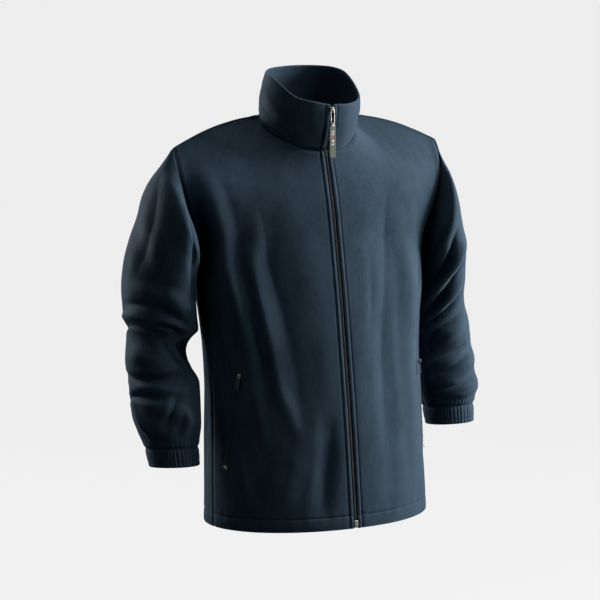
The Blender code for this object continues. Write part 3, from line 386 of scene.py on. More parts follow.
def collar_grid():
    """Points (row, place, xyz) of the collar, from its right front edge round to its left."""
    front = np.linspace(0, SHOULDER_SEAM_ANGLE, FRONT_NECK_COLUMNS + 1)
    back = np.linspace(SHOULDER_SEAM_ANGLE, 180, BACK_NECK_COLUMNS + 1)
    half = np.concatenate([front, back[1:]])
    angles = np.concatenate([-half, half[-2::-1]])
    turn = np.radians(angles)
    opening = opening_at(np.arange(len(half)) / FRONT_COLUMNS)
    opening = np.concatenate([-opening, opening[-2::-1]])
    bottom = neckline(angles)
    bottom[:, 2] += COLLAR_SEAM_GAP
    x, y = oval(turn, COLLAR_HALF_WIDTH, COLLAR_FRONT_Y, COLLAR_SIDE_Y, COLLAR_BACK_Y)
    x = x + COLLAR_SHIFT * np.sin(turn / 2) ** 2
    top = points_of(x, y, from_table(COLLAR_TOP_TABLE, COLLAR_TOP_COLUMNS, "z", "angle", angles))
    share = np.linspace(0, 1, COLLAR_ROWS + 1)[:, None, None]
    grid = bottom * (1 - share) + top * share
    swell = COLLAR_SWELL * np.sin(pi * share[..., 0])
    grid[..., 0] += swell * np.sin(turn) + opening
    grid[..., 1] -= swell * np.cos(turn)
    return grid


def frame_at(origin, right, up):
    """A matrix whose x is right, y is up and z is out of the cloth."""
    right = Vector(right).normalized()
    out = right.cross(Vector(up)).normalized()
    up = out.cross(right)
    turn = Matrix((right, up, out)).transposed().to_4x4()
    return Matrix.Translation(Vector(origin)) @ turn


def length_along(line):
    steps = np.linalg.norm(np.diff(line, axis=0), axis=1)
    return np.concatenate([[0], np.cumsum(steps)])


def place_on_front(line, height):
    """A frame on the front edge line, at a height along it from the hem."""
    run = length_along(line)
    spot = [np.interp(height, run, line[:, k]) for k in (0, 1)]
    ahead = [np.interp(height + 0.004, run, line[:, k]) for k in (0, 1)]
    before = [np.interp(height - 0.004, run, line[:, k]) for k in (0, 1)]
    up = (0, ahead[0] - before[0], ahead[1] - before[1])
    return frame_at((0, *spot), (1, 0, 0), up)


# ---------------------------------------------------------------- creases and sewn detail
# Smaller creases, in the columns of FOLD_TABLE.
CREASE_TABLE = (
    ("front_right", (8.7, 19.0), (7.8, 17.0), (7.9, 14.4), 0.030, 0.0035),
    ("front_right", (7.9, 14.6), (7.5, 11.2), (6.9, 7.8), 0.028, 0.0055),
    ("front_right", (6.7, 9.9), (6.2, 8.3), (5.9, 6.6), 0.015, -0.0036),
    ("front_right", (6.9, 6.3), (6.6, 5.0), (6.3, 3.6), 0.016, 0.0030),
    ("front_right", (5.2, 12.6), (5.6, 9.6), (5.3, 7.0), 0.022, 0.0028),
    ("front_right", (5.3, 7.2), (4.8, 5.9), (3.9, 4.4), 0.020, 0.0034),
    ("front_right", (3.9, 18.0), (4.1, 12.4), (3.5, 5.8), 0.080, -0.0092),
    ("front_right", (9.7, 17.0), (9.4, 14.0), (9.2, 11.2), 0.020, -0.0040),
    ("front_right", (10.4, 10.8), (9.8, 8.4), (9.9, 5.4), 0.022, -0.0034),
    ("front_right", (1.1, 5.0), (1.5, 3.2), (2.2, 0.9), 0.034, -0.0066),
    ("front_right", (8.8, 3.2), (8.2, 1.9), (7.4, 0.8), 0.022, 0.0032),
    ("front_right", (5.2, 4.0), (5.8, 2.6), (6.9, 1.0), 0.024, 0.0036),
    ("front_left", (3.0, 18.4), (3.2, 11.8), (3.0, 4.2), 0.062, -0.0060),
    ("front_left", (5.2, 17.6), (6.2, 14.6), (6.3, 12.4), 0.022, 0.0018),
    ("front_left", (9.9, 8.6), (9.7, 6.0), (10.0, 3.2), 0.016, 0.0022),
    ("front_left", (1.7, 13.0), (2.0, 10.4), (1.8, 8.0), 0.016, -0.0012),
    ("sleeve_right", (5.6, 1.2), (3.8, 4.4), (2.8, 7.8), 0.018, -0.0079),
    ("sleeve_right", (9.6, 1.8), (8.6, 4.8), (8.9, 8.4), 0.026, -0.0040),
    ("sleeve_right", (10.6, 10.9), (7.0, 10.7), (2.7, 12.0), 0.013, -0.0082),
    ("sleeve_right", (9.6, 9.6), (6.4, 9.4), (3.4, 9.8), 0.024, 0.0058),
    ("sleeve_right", (7.0, 12.3), (5.8, 12.2), (4.4, 12.6), 0.012, -0.0112),
    ("sleeve_right", (12.4, 12.9), (10.0, 12.5), (6.6, 12.8), 0.010, -0.0090),
    ("sleeve_right", (11.6, 11.9), (9.6, 11.7), (8.0, 11.8), 0.011, 0.0053),
    ("sleeve_right", (9.6, 14.6), (8.4, 14.8), (7.2, 14.9), 0.020, 0.0069),
    ("sleeve_right", (6.6, 13.5), (5.0, 14.9), (3.6, 15.7), 0.011, -0.0079),
    ("sleeve_right", (11.6, 16.6), (8.0, 16.8), (3.9, 16.1), 0.012, -0.0112),
    ("sleeve_right", (10.6, 17.7), (7.6, 17.6), (4.6, 17.6), 0.013, 0.0063),
    ("sleeve_right", (11.6, 18.7), (9.4, 18.3), (6.6, 18.5), 0.011, -0.0092),
    ("sleeve_right", (10.2, 19.0), (9.0, 20.6), (8.3, 22.2), 0.012, 0.0053),
    ("sleeve_right", (5.2, 18.2), (6.0, 19.8), (6.7, 21.2), 0.013, -0.0079),
    ("sleeve_right", (4.6, 19.3), (4.4, 20.4), (4.9, 21.6), 0.013, 0.0053),
    ("sleeve_left", (5.8, 4.6), (4.1, 6.5), (2.4, 9.1), 0.0112, -0.0086),
    ("sleeve_left", (6.2, 6.4), (4.4, 8.0), (2.6, 10.6), 0.016, 0.0058),
    ("sleeve_left", (5.8, 8.0), (3.8, 10.7), (2.0, 12.7), 0.0120, -0.0101),
    ("sleeve_left", (6.4, 10.0), (4.6, 11.6), (3.4, 12.8), 0.014, 0.0066),
    ("sleeve_left", (6.4, 11.6), (4.0, 12.9), (1.8, 14.2), 0.0095, -0.0089),
    ("sleeve_left", (6.6, 13.3), (4.0, 14.3), (1.8, 15.5), 0.0086, -0.0071),
    ("sleeve_left", (6.0, 14.7), (4.8, 15.2), (3.6, 15.8), 0.016, 0.0074),
    ("sleeve_left", (3.2, 14.9), (2.4, 15.8), (2.2, 16.8), 0.0103, -0.0059),
    ("sleeve_left", (6.2, 16.7), (3.8, 17.2), (1.7, 18.0), 0.0095, -0.0095),
    ("sleeve_left", (7.0, 17.4), (4.5, 18.5), (2.1, 19.6), 0.0086, -0.0069),
    ("sleeve_left", (7.2, 18.9), (5.0, 19.4), (3.2, 19.9), 0.013, 0.0061),
    ("sleeve_left", (7.4, 19.8), (4.4, 20.6), (1.8, 21.1), 0.0095, -0.0078),
    ("sleeve_left", (7.6, 21.4), (5.6, 21.8), (3.6, 21.8), 0.012, 0.0048),
    ("back", (8.8, 16.2), (9.4, 12.6), (9.0, 9.2), 0.020, -0.0049),
    ("back", (13.4, 15.2), (12.7, 11.8), (13.2, 8.8), 0.020, -0.0049),
    ("back", (4.6, 7.6), (7.0, 7.0), (9.6, 7.9), 0.018, 0.0049),
    ("back", (12.6, 5.4), (15.2, 6.2), (17.8, 5.6), 0.018, 0.0049),
    ("back", (1.6, 8.0), (1.9, 5.4), (1.6, 2.8), 0.014, -0.0053),
    ("back", (20.4, 8.0), (20.1, 5.4), (20.4, 2.8), 0.014, -0.0053),
    ("sleeve_right", (15.2, 3.2), (13.6, 6.0), (13.0, 9.4), 0.022, 0.0030),
    ("sleeve_right", (19.2, 14.6), (16.8, 15.0), (14.4, 14.6), 0.014, 0.0030),
    ("sleeve_left", (15.4, 3.4), (13.8, 6.2), (13.2, 9.2), 0.022, 0.0030),
    ("sleeve_left", (19.0, 13.8), (16.4, 14.4), (14.0, 14.0), 0.014, 0.0030),
    ("collar", (3.2, 1.2), (4.9, 1.9), (5.8, 3.2), 0.014, -0.0031),
    ("collar", (2.2, 2.9), (3.2, 2.4), (4.3, 2.9), 0.013, 0.0026),
    ("collar", (14.4, 1.2), (15.6, 2.0), (16.8, 2.6), 0.013, -0.0026),
    ("collar", (6.8, 1.4), (8.2, 2.4), (9.8, 2.2), 0.016, 0.0023),
)
PANEL_STEP = 1 / 8          # of a cell of the coarse grids
BACK_STEP = 1 / 7
SLEEVE_STEP = 1 / 8
CUFF_STEP = 1 / 12
COLLAR_STEP = 1 / 10
PINCH = 1.7                 # how sharply a crease's trough closes
FREE = 3                    # rows that round off an edge
SEAM_WIDTH = 0.0032         # over which cloth rolls in towards a seam
SEAM_DIP = 0.0013
SEAM_SWELL = 0.0004
SEAM_SWELL_AT = 0.0075
SEAM_SWELL_WIDTH = 0.0035
HEM_DEPTH = 0.021           # from the hem to its topstitching
HEM_GROOVE = 0.0011
HEM_SWELL = 0.0006
HEM_RIPPLE = 0.0003
HEM_RIPPLE_REACH = 0.010
HEM_RIPPLE_PITCH = 0.021
ZIP_STITCH = 0.0072         # from a front edge to its topstitching
ZIP_GROOVE = 0.0012
ZIP_SWELL = 0.0010
PUCKER = 0.00022            # of the cloth along the zip
PUCKER_REACH = 0.006
PUCKER_PITCH = 0.017
POCKET_STITCH = 0.0085      # from a pocket zip's middle to its topstitching
POCKET_STITCH_SUNK = 0.0004
STITCH_WIDTH = 0.0015       # of the groove that it lies in
STITCH_PITCH = 0.0034
STITCH_LENGTH = 0.0024
STITCH_RADIUS = 0.00034
STITCH_SUNK = 0.0001
GATHERED_PLACES = (2.2, 7.4)
GATHERS_PER_PLACE = 2.2
CAMERA_AZIMUTH = -27.0
CAMERA_ELEVATION = 8.0
CAMERA_DISTANCE = 4.0
CAMERA_LENS = 137.14
CAMERA_TARGET_Z = -0.318
CAMERA_TARGET_ASIDE = -0.0096


def steps_between(count, step, *fine):
    """Places from 0 to count at a step, with closer ones from each (start, end, step) in fine."""
    runs = [np.arange(0, count + step / 2, step)]
    for start, end, close in fine:
        runs.append(np.arange(start, end, close))
    places = np.unique(np.clip(np.concatenate(runs), 0, count).round(4))
    keep = np.concatenate([[True], np.diff(places) > 0.012])
    keep[-1] = True
    return places[keep]


def refined(grid, rows_at, places_at, closed=False):
    """The smooth surface through a coarse grid, read at fractions of its rows and places."""
    knots = np.arange(grid.shape[1])
    if closed:
        grid = np.concatenate([grid[:, -3:], grid, grid[:, :4]], axis=1)
        knots = np.arange(-3, len(knots) + 4)
    tall = through(np.arange(grid.shape[0]), grid, rows_at)
    return np.swapaxes(through(knots, np.swapaxes(tall, 0, 1), places_at), 0, 1)


def surface_normals(grid, closed=False):
    if closed:
        wide = np.concatenate([grid[:, -2:-1], grid, grid[:, 1:2]], axis=1)
        across = wide[:, 2:] - wide[:, :-2]
    else:
        across = np.gradient(grid, axis=1)
    return unit(np.cross(across, np.gradient(grid, axis=0)))


def crease_heights(piece, coarse, grid, rows_at, places_at, closed):
    """How far each point of a refined grid stands out by the folds and the finer creases."""
    wide = np.concatenate([coarse, coarse[:, :1]], axis=1) if closed else coarse
    steps = np.linspace(0, 1, FOLD_STEPS)
    heights = np.zeros(grid.shape[:2])
    for values in FOLD_TABLE + CREASE_TABLE:
        fold = dict(zip(FOLD_COLUMNS, values))
        if fold["piece"] != piece:
            continue
        pinched = values in CREASE_TABLE and fold["height"] < 0
        spots = through((0, 0.5, 1), (fold["start"], fold["middle"], fold["end"]), steps)
        line = np.array([on_grid(wide, *spot) for spot in spots])
        nearest = np.zeros(heights.shape)
        for number, (start, end) in enumerate(zip(line, line[1:])):
            along = np.clip((grid - start) @ (end - start) / ((end - start) @ (end - start)), 0, 1)
            away = np.linalg.norm(grid - start - along[..., None] * (end - start), axis=-1)
            away = np.clip(away / fold["width"], 0, 1)
            shape = (1 - away) ** PINCH if pinched else np.cos(pi / 2 * away) ** 2
            share = (number + along) / (FOLD_STEPS - 1)
            nearest = np.maximum(nearest, shape * np.sin(pi * (0.1 + 0.8 * share)))
        heights += fold["height"] * nearest
    rows, places = rows_at[:, None], places_at[None]
    top = coarse.shape[0] - 1 - rows
    if closed:
        cells = np.minimum(rows, top) + 0 * places
    else:
        cells = np.minimum(top, np.minimum(places, coarse.shape[1] - 1 - places))
    return heights * np.clip(cells / FOLD_FADE_CELLS, 0, 1)


def distances(grid):
    """Metres along the cloth from each edge: from the first and last place, bottom and top."""
    across = np.linalg.norm(np.diff(grid, axis=1), axis=-1)
    up = np.linalg.norm(np.diff(grid, axis=0), axis=-1)
    first = np.concatenate([np.zeros((len(grid), 1)), np.cumsum(across, axis=1)], axis=1)
    bottom = np.concatenate([np.zeros((1, grid.shape[1])), np.cumsum(up, axis=0)])
    return {"first": first, "last": first[:, -1:] - first, "bottom": bottom,
            "top": bottom[-1:] - bottom}


def groove(away, at, width):
    return np.exp(-((away - at) / width) ** 2)


def wavering(grid, size, seed):
    """Smooth noise from -1 to 1 over a grid of points, for waves of about this size."""
    spots = (grid / size + seed * 7.3).reshape(-1, 3)
    return np.array([noise.noise(spot) for spot in spots]).reshape(grid.shape[:2])


# ---------------------------------------------------------------- meshes


def new_object(name, mesh, finish, body, replaced):
    mesh.materials.append(finish)
    made = bpy.data.objects.new(name, mesh)
    bpy.context.scene.collection.objects.link(made)
    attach(made, body)
    if replaced:
        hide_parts(*replaced)
    return made


def recoat(node, material):
    """Gives a CAD node that stays a new material."""
    materials = frame["nodes"][node].data.materials
    materials.clear()
    materials.append(material)


def boundary(rows, places):
    """The indices of a grid's edge points, in order round it."""
    index = np.arange(rows * places).reshape(rows, places)
    return np.concatenate([index[0, :-1], index[:-1, -1], index[-1, :0:-1], index[:0:-1, 0]])


def edge_outwards(outer, sides):
    """At each edge point, the way off the cloth on the named free sides, and 0 on the seams."""
    way = np.zeros(outer.shape)
    pairs = {"bottom": (0, 1), "top": (-1, -2)}
    for side in sides:
        if side in pairs:
            edge, inside = pairs[side]
            way[edge] += unit(outer[edge] - outer[inside])
        else:
            edge, inside = {"first": (0, 1), "last": (-1, -2)}[side]
            way[:, edge] += unit(outer[:, edge] - outer[:, inside])
    return way


def cloth_mesh(name, outer, inner, uv, free_sides):
    """A cloth shell between two grids, its free edges rounded off and its seams turned square."""
    rows, places = outer.shape[:2]
    count = rows * places
    ring = boundary(rows, places)
    way = edge_outwards(outer, free_sides).reshape(-1, 3)[ring]
    top, low = outer.reshape(-1, 3), inner.reshape(-1, 3)
    middle = (top[ring] + low[ring]) / 2
    half = (top[ring] - low[ring]) / 2
    reach = np.linalg.norm(half, axis=1, keepdims=True)
    rims = []
    for step in range(1, FREE + 1):
        turn = pi * step / (FREE + 1)
        rims.append(middle + half * cos(turn) + way * reach * sin(turn))
    points = np.concatenate([top, low] + rims)
    index = np.arange(count).reshape(rows, places)
    quads = np.stack([index[:-1, :-1], index[:-1, 1:], index[1:, 1:], index[1:, :-1]], -1)
    quads = quads.reshape(-1, 4)
    faces = [quads, quads[:, ::-1] + count]
    loops = [ring] + [2 * count + len(ring) * k + np.arange(len(ring)) for k in range(FREE)]
    loops.append(ring + count)
    for high, under in zip(loops, loops[1:]):
        faces.append(np.stack([high, under, np.roll(under, -1), np.roll(high, -1)], -1))
    faces = np.concatenate(faces)
    mesh = bpy.data.meshes.new(name)
    mesh.vertices.add(len(points))
    mesh.vertices.foreach_set("co", points.astype(np.float32).ravel())
    mesh.loops.add(faces.size)
    mesh.loops.foreach_set("vertex_index", faces.astype(np.int32).ravel())
    mesh.polygons.add(len(faces))
    mesh.polygons.foreach_set("loop_start", np.arange(0, faces.size, 4, dtype=np.int32))
    mesh.polygons.foreach_set("use_smooth", np.ones(len(faces), bool))
    flat = np.concatenate([uv.reshape(-1, 2)] * 2 + [uv.reshape(-1, 2)[ring]] * FREE)
    layer = mesh.uv_layers.new(name="cut")
    layer.data.foreach_set("uv", flat[faces.ravel()].astype(np.float32).ravel())
    mesh.update(calc_edges=True)
    mesh.validate()
    return mesh


def tube(points, radius, sides=10, cyclic=False):
    """Rings round a wire along points; one that isn't cyclic has domed ends."""
    points = np.asarray(points, float)
    if cyclic:
        along = unit(np.roll(points, -1, axis=0) - np.roll(points, 1, axis=0))
    else:
        along = unit(np.gradient(points, axis=0))
    side = unit(np.cross(along, [0.31, 0.12, 0.94]))
    over = np.cross(side, along)
    turn = 2 * pi * np.arange(sides) / sides
    radii = np.full(len(points), radius)
    if not cyclic:
        start = [points[0] - along[0] * radius * k for k in (0.95, 0.6)]
        end = [points[-1] + along[-1] * radius * k for k in (0.6, 0.95)]
        points = np.concatenate([start, points, end])
        side = np.concatenate([side[:1], side[:1], side, side[-1:], side[-1:]])
        over = np.concatenate([over[:1], over[:1], over, over[-1:], over[-1:]])
        radii = np.concatenate([[radius * 0.3, radius * 0.8], radii, [radius * 0.8, radius * 0.3]])
    rings = (points[:, None] + radii[:, None, None]
             * (side[:, None] * np.cos(turn)[:, None] + over[:, None] * np.sin(turn)[:, None]))
    return rings, cyclic


def rings_mesh(name, parts):
    """One mesh from tubes, each given as rings of points and whether it closes on itself."""
    points, faces, base = [], [], 0
    for rings, cyclic in parts:
        count, sides = rings.shape[:2]
        index = base + np.arange(count * sides).reshape(count, sides)
        rows = list(zip(index, index[1:])) + ([(index[-1], index[0])] if cyclic else [])
        for a, b in rows:
            for k in range(sides):
                j = (k + 1) % sides
                faces.append((a[k], b[k], b[j], a[j]))
        if not cyclic:
            faces.append(tuple(index[0]))
            faces.append(tuple(index[-1][::-1]))
        points.append(rings.reshape(-1, 3))
        base += count * sides
    mesh = bpy.data.meshes.new(name)
    mesh.from_pydata(np.concatenate(points).tolist(), [], [[int(i) for i in f] for f in faces])
    mesh.shade_smooth()
    return mesh


def stitch_row(line, normals):
    """Thread showing along a line on the cloth, one short capsule for each stitch."""
    run = length_along(line)
    parts = []
    for start in np.arange(STITCH_PITCH / 2, run[-1] - STITCH_PITCH / 2, STITCH_PITCH):
        ends = []
        for shift, lift in ((-STITCH_LENGTH / 2, -0.5), (0, 1.0), (STITCH_LENGTH / 2, -0.5)):
            at = start + shift
            spot = np.array([np.interp(at, run, line[:, k]) for k in range(3)])
            out = unit(np.array([np.interp(at, run, normals[:, k]) for k in range(3)]))
            ends.append(spot + out * (lift * STITCH_RADIUS - STITCH_SUNK))
        parts.append(tube(ends, STITCH_RADIUS, sides=5))
    return parts


def grown(mesh_maker, name):
    """A mesh made by a bmesh function, smoothed by angle."""
    shape = bmesh.new()
    mesh_maker(shape)
    mesh = bpy.data.meshes.new(name)
    shape.to_mesh(mesh)
    shape.free()
    mesh.shade_smooth()
    mesh.set_sharp_from_angle(angle=radians(45))
    return mesh


def rounded_box(shape, size, edge, segments=4, waist=0.0, middle=(0, 0, 0)):
    """A rounded block added to a shape; a waist over 0 draws its sides in halfway along y."""
    block = bmesh.new()
    bmesh.ops.create_cube(block, size=1.0)
    bmesh.ops.scale(block, vec=size, verts=block.verts)
    if waist:
        lengthwise = [e for e in block.edges
                      if abs((e.verts[0].co - e.verts[1].co).y) > size[1] / 2]
        bmesh.ops.subdivide_edges(block, edges=lengthwise, cuts=6, use_grid_fill=True)
        for vert in block.verts:
            vert.co.x *= 1 - waist * cos(pi * vert.co.y / size[1]) ** 2
    sharp = [e for e in block.edges if e.calc_face_angle(0) > 0.6]
    bmesh.ops.bevel(block, geom=sharp, offset=edge, segments=segments, affect="EDGES",
                    profile=0.5)
    bmesh.ops.translate(block, verts=block.verts, vec=middle)
    mesh = bpy.data.meshes.new("block")
    block.to_mesh(mesh)
    block.free()
    shape.from_mesh(mesh)
    bpy.data.meshes.remove(mesh)


# ---------------------------------------------------------------- materials


class Wire:
    """A shader socket of a number, on which maths adds Math nodes."""

    def __init__(self, shader, socket):
        self.shader = shader
        self.socket = socket

    def maths(self, operation, first, second):
        return self.shader.node("ShaderNodeMath", {"operation": operation}, {0: first, 1: second})

    def __add__(self, other):
        return self.maths("ADD", self, other)

    def __sub__(self, other):
        return self.maths("SUBTRACT", self, other)

    def __rsub__(self, other):
        return self.maths("SUBTRACT", other, self)

    def __mul__(self, other):
        return self.maths("MULTIPLY", self, other)

    def clamped(self, low=0.0, high=1.0):
        return self.shader.node("ShaderNodeClamp", {}, {"Value": self, "Min": low, "Max": high})

    __radd__ = __add__
    __rmul__ = __mul__


class Shader:
    """A material's nodes, made from their type, settings and inputs."""

    def __init__(self, name):
        self.material = bpy.data.materials.new(name)
        self.material.use_nodes = True
        self.tree = self.material.node_tree
        self.surface = self.tree.nodes["Principled BSDF"]

    def node(self, kind, settings=None, inputs=None, output=0):
        made = self.tree.nodes.new(kind)
        for name, value in (settings or {}).items():
            setattr(made, name, value)
        self.feed(made, inputs or {})
        return Wire(self, made.outputs[output])

    def feed(self, made, inputs):
        for name, value in inputs.items():
            if isinstance(value, Wire):
                self.tree.links.new(value.socket, made.inputs[name])
            else:
                made.inputs[name].default_value = value

    def set(self, **inputs):
        self.feed(self.surface, {name.replace("_", " "): value for name, value in inputs.items()})
        return self

    def scaled(self, vector, scale):
        return self.node("ShaderNodeVectorMath", {"operation": "MULTIPLY"}, {0: vector, 1: scale})

    def noise(self, vector, scale, detail=2.0, roughness=0.5):
        return self.node("ShaderNodeTexNoise", {"noise_dimensions": "3D"},
                         {"Vector": vector, "Scale": scale, "Detail": detail,
                          "Roughness": roughness})

    def blend(self, factor, first, second):
        """Between two colours."""
        return self.node("ShaderNodeMix", {"data_type": "RGBA"},
                         {0: factor, 6: first, 7: second}, output=2)

    def bump(self, height, strength, distance):
        return self.node("ShaderNodeBump", {},
                         {"Height": height, "Strength": strength, "Distance": distance})


def linear(red, green, blue):
    """A colour given on the 0 to 255 display scale, as linear RGBA."""
    return tuple(((v / 255 + 0.055) / 1.055) ** 2.4 if v > 10 else v / 3295 for v in
                 (red, green, blue)) + (1.0,)


def fleece(settings):
    """Short brushed pile: lengthwise streaks, fine tufts and broad cloudy changes of nap."""
    shader = Shader("fleece_pile")
    cut = shader.node("ShaderNodeUVMap", {"uv_map": "cut"})
    place = shader.node("ShaderNodeTexCoord", output=3)
    streaks = shader.noise(shader.scaled(cut, (420.0, 70.0, 1.0)), 1.0, 3.0, 0.6)
    drift = shader.noise(shader.scaled(cut, (60.0, 16.0, 1.0)), 1.0, 2.0)
    clouds = shader.noise(place, 14.0, 3.0, 0.55)
    tufts = shader.noise(place, 1500.0, 2.0, 0.6)
    nap = shader.noise(place, 420.0, 3.0, 0.6)
    light = settings.colour_light[:] + (1.0,)
    dark = settings.colour_dark[:] + (1.0,)
    mix = (streaks * 0.50 + drift * 0.35 + clouds * 0.45 + nap * 0.35 - 0.32)
    mix = ((mix - 0.5) * settings.streaks + 0.5).clamped()
    colour = shader.blend(mix, dark, light)
    specks = ((tufts - 0.62) * 6.0).clamped() * settings.specks
    colour = shader.blend(specks, colour, linear(150, 172, 190))
    height = nap * 0.22 + streaks * 0.16 + tufts * 0.9
    relief = shader.bump(height, settings.pile_strength, settings.pile_height)
    shader.set(Base_Color=colour, Roughness=(0.92 - mix * 0.12).clamped(), Normal=relief,
               Specular_IOR_Level=0.12, Sheen_Weight=settings.sheen, Sheen_Roughness=0.42,
               Sheen_Tint=linear(150, 178, 200))
    return shader.material


def woven(name, colour, lighter):
    """Narrow woven tape or thread: a fine twill."""
    shader = Shader(name)
    place = shader.node("ShaderNodeTexCoord", output=3)
    twill = shader.node("ShaderNodeTexWave", {"bands_direction": "DIAGONAL"},
                        {"Vector": place, "Scale": 520.0, "Distortion": 1.2}, output=1)
    fluff = shader.noise(place, 700.0, 2.0)
    shader.set(Base_Color=shader.blend(twill * 0.6 + fluff * 0.4, colour, lighter),
               Roughness=0.85, Specular_IOR_Level=0.2,
               Normal=shader.bump(twill + fluff * 0.5, 0.6, 0.0003))
    return shader.material


def moulded(name, colour, roughness, grain):
    """Moulded nylon or rubber with a fine mould grain and rubbed, slightly shinier edges."""
    shader = Shader(name)
    place = shader.node("ShaderNodeTexCoord", output=3)
    fine = shader.noise(place, grain, 3.0)
    broad = shader.noise(place, 160.0, 2.0)
    edges = shader.node("ShaderNodeNewGeometry", output=7)
    worn = ((edges - 0.52) * 8.0).clamped() * 0.35
    darker = tuple(v * 0.8 for v in colour[:3]) + (1.0,)
    lighter = tuple(min(1.0, v * 1.35 + 0.01) for v in colour[:3]) + (1.0,)
    tint = shader.blend(broad, darker, colour)
    shader.set(Base_Color=shader.blend(worn, tint, lighter),
               Roughness=(fine * 0.16 - worn * 0.3 + roughness).clamped(),
               Normal=shader.bump(fine, 0.3, 0.0002))
    return shader.material


def plated(name, colour):
    """Plated metal, brushed by use: fine scratches and duller hollows."""
    shader = Shader(name)
    place = shader.node("ShaderNodeTexCoord", output=3)
    scratch = shader.noise(shader.scaled(place, (900.0, 900.0, 160.0)), 1.0, 3.0)
    dull = shader.noise(place, 240.0, 2.0)
    darker = tuple(v * 0.62 for v in colour[:3]) + (1.0,)
    shader.set(Base_Color=shader.blend(dull, darker, colour), Metallic=1.0,
               Roughness=(dull * 0.22 + scratch * 0.16 + 0.12).clamped(),
               Normal=shader.bump(scratch, 0.15, 0.0001))
    return shader.material


def finish(name, maker, *args):
    """A material made once and shared by the pieces that use it."""
    return bpy.data.materials.get(name) or maker(*args)


def fleece_material(context):
    return finish("fleece_pile", fleece, context.scene.jacket_fleece)


def thread_material():
    return finish("thread", woven, "thread", linear(38, 54, 70), linear(66, 86, 104))


def coil_material():
    return finish("coil_nylon", moulded, "coil_nylon", linear(40, 34, 33), 0.42, 600.0)


def metal_material():
    return finish("plated_metal", plated, "plated_metal", linear(214, 212, 204))


# ---------------------------------------------------------------- the cloth


class Cut:
    """The coarse grids, the same as the solids', and the surfaces refined from them."""

    def __init__(self):
        levels = np.arange(TOP_LEVEL + 1)
        front = left_panel(np.linspace(0, 1, FRONT_COLUMNS + 1), levels, False)
        half = left_panel(np.linspace(0, 1, BACK_COLUMNS // 2 + 1), levels, True)
        seam = slice(0, BODY_ROWS + 1)
        front[seam, -1] = (front[seam, -1] + half[seam, -1]) / 2
        half[seam, -1] = front[seam, -1]
        self.front = front
        self.back = np.concatenate([half[:, ::-1], mirrored(half)[:, 1:]], axis=1)
        armhole = np.concatenate([front[BODY_ROWS:, -1], half[BODY_ROWS:, -1][-2:0:-1]])
        armhole = armhole + np.array([SLEEVE_DRAW, 0, 0])
        self.sleeves = {"left": sleeve_grid(armhole, SLEEVE_SPREAD["left"], LEFT_SLEEVE_PUSHED_UP),
                        "right": sleeve_grid(armhole, SLEEVE_SPREAD["right"], 0.0)}

    def surface(self, piece, coarse, rows_at, places_at, closed=False, sign=1):
        """The refined outer face with all its folds, its outward normals and its cut places."""
        grid = refined(coarse, rows_at, places_at, closed)
        out = surface_normals(grid, closed) * sign
        heights = crease_heights(piece, coarse, grid, rows_at, places_at, closed)
        grid = grid + out * heights[..., None]
        out = surface_normals(grid, closed) * sign
        cell = [np.linalg.norm(np.diff(coarse, axis=k), axis=-1).mean() for k in (1, 0)]
        u, v = np.meshgrid(places_at * cell[0], rows_at * cell[1])
        return grid, out, np.stack([u, v], axis=-1)


def put_cloth(name, side, outer, inner, uv, free_sides, material, replaced):
    """Makes a cloth piece on a side; the right one is the mirror image, turned to face out."""
    if side == "right":
        outer, inner = mirrored(outer)[:, ::-1], mirrored(inner)[:, ::-1]
        uv = uv[:, ::-1]
        swap = {"first": "last", "last": "first"}
        free_sides = [swap.get(edge, edge) for edge in free_sides]
    mesh = cloth_mesh(name, outer, inner, uv, free_sides)
    return new_object(name, mesh, material, "jacket", replaced)


def put_stitches(name, side, rows):
    """Rows of thread, each a line on a left piece and its normals."""
    parts = []
    for line, out in rows:
        parts += stitch_row(placed_on(side, line), placed_on(side, out))
    return new_object(name, rings_mesh(name, parts), thread_material(), "jacket", ())


def softened(grid, out, amount, seed):
    """Lets a surface waver a little, as brushed cloth never lies quite even."""
    waves = wavering(grid, 0.085, seed) + 0.45 * wavering(grid, 0.030, seed + 1)
    return grid + out * (waves * amount)[..., None]


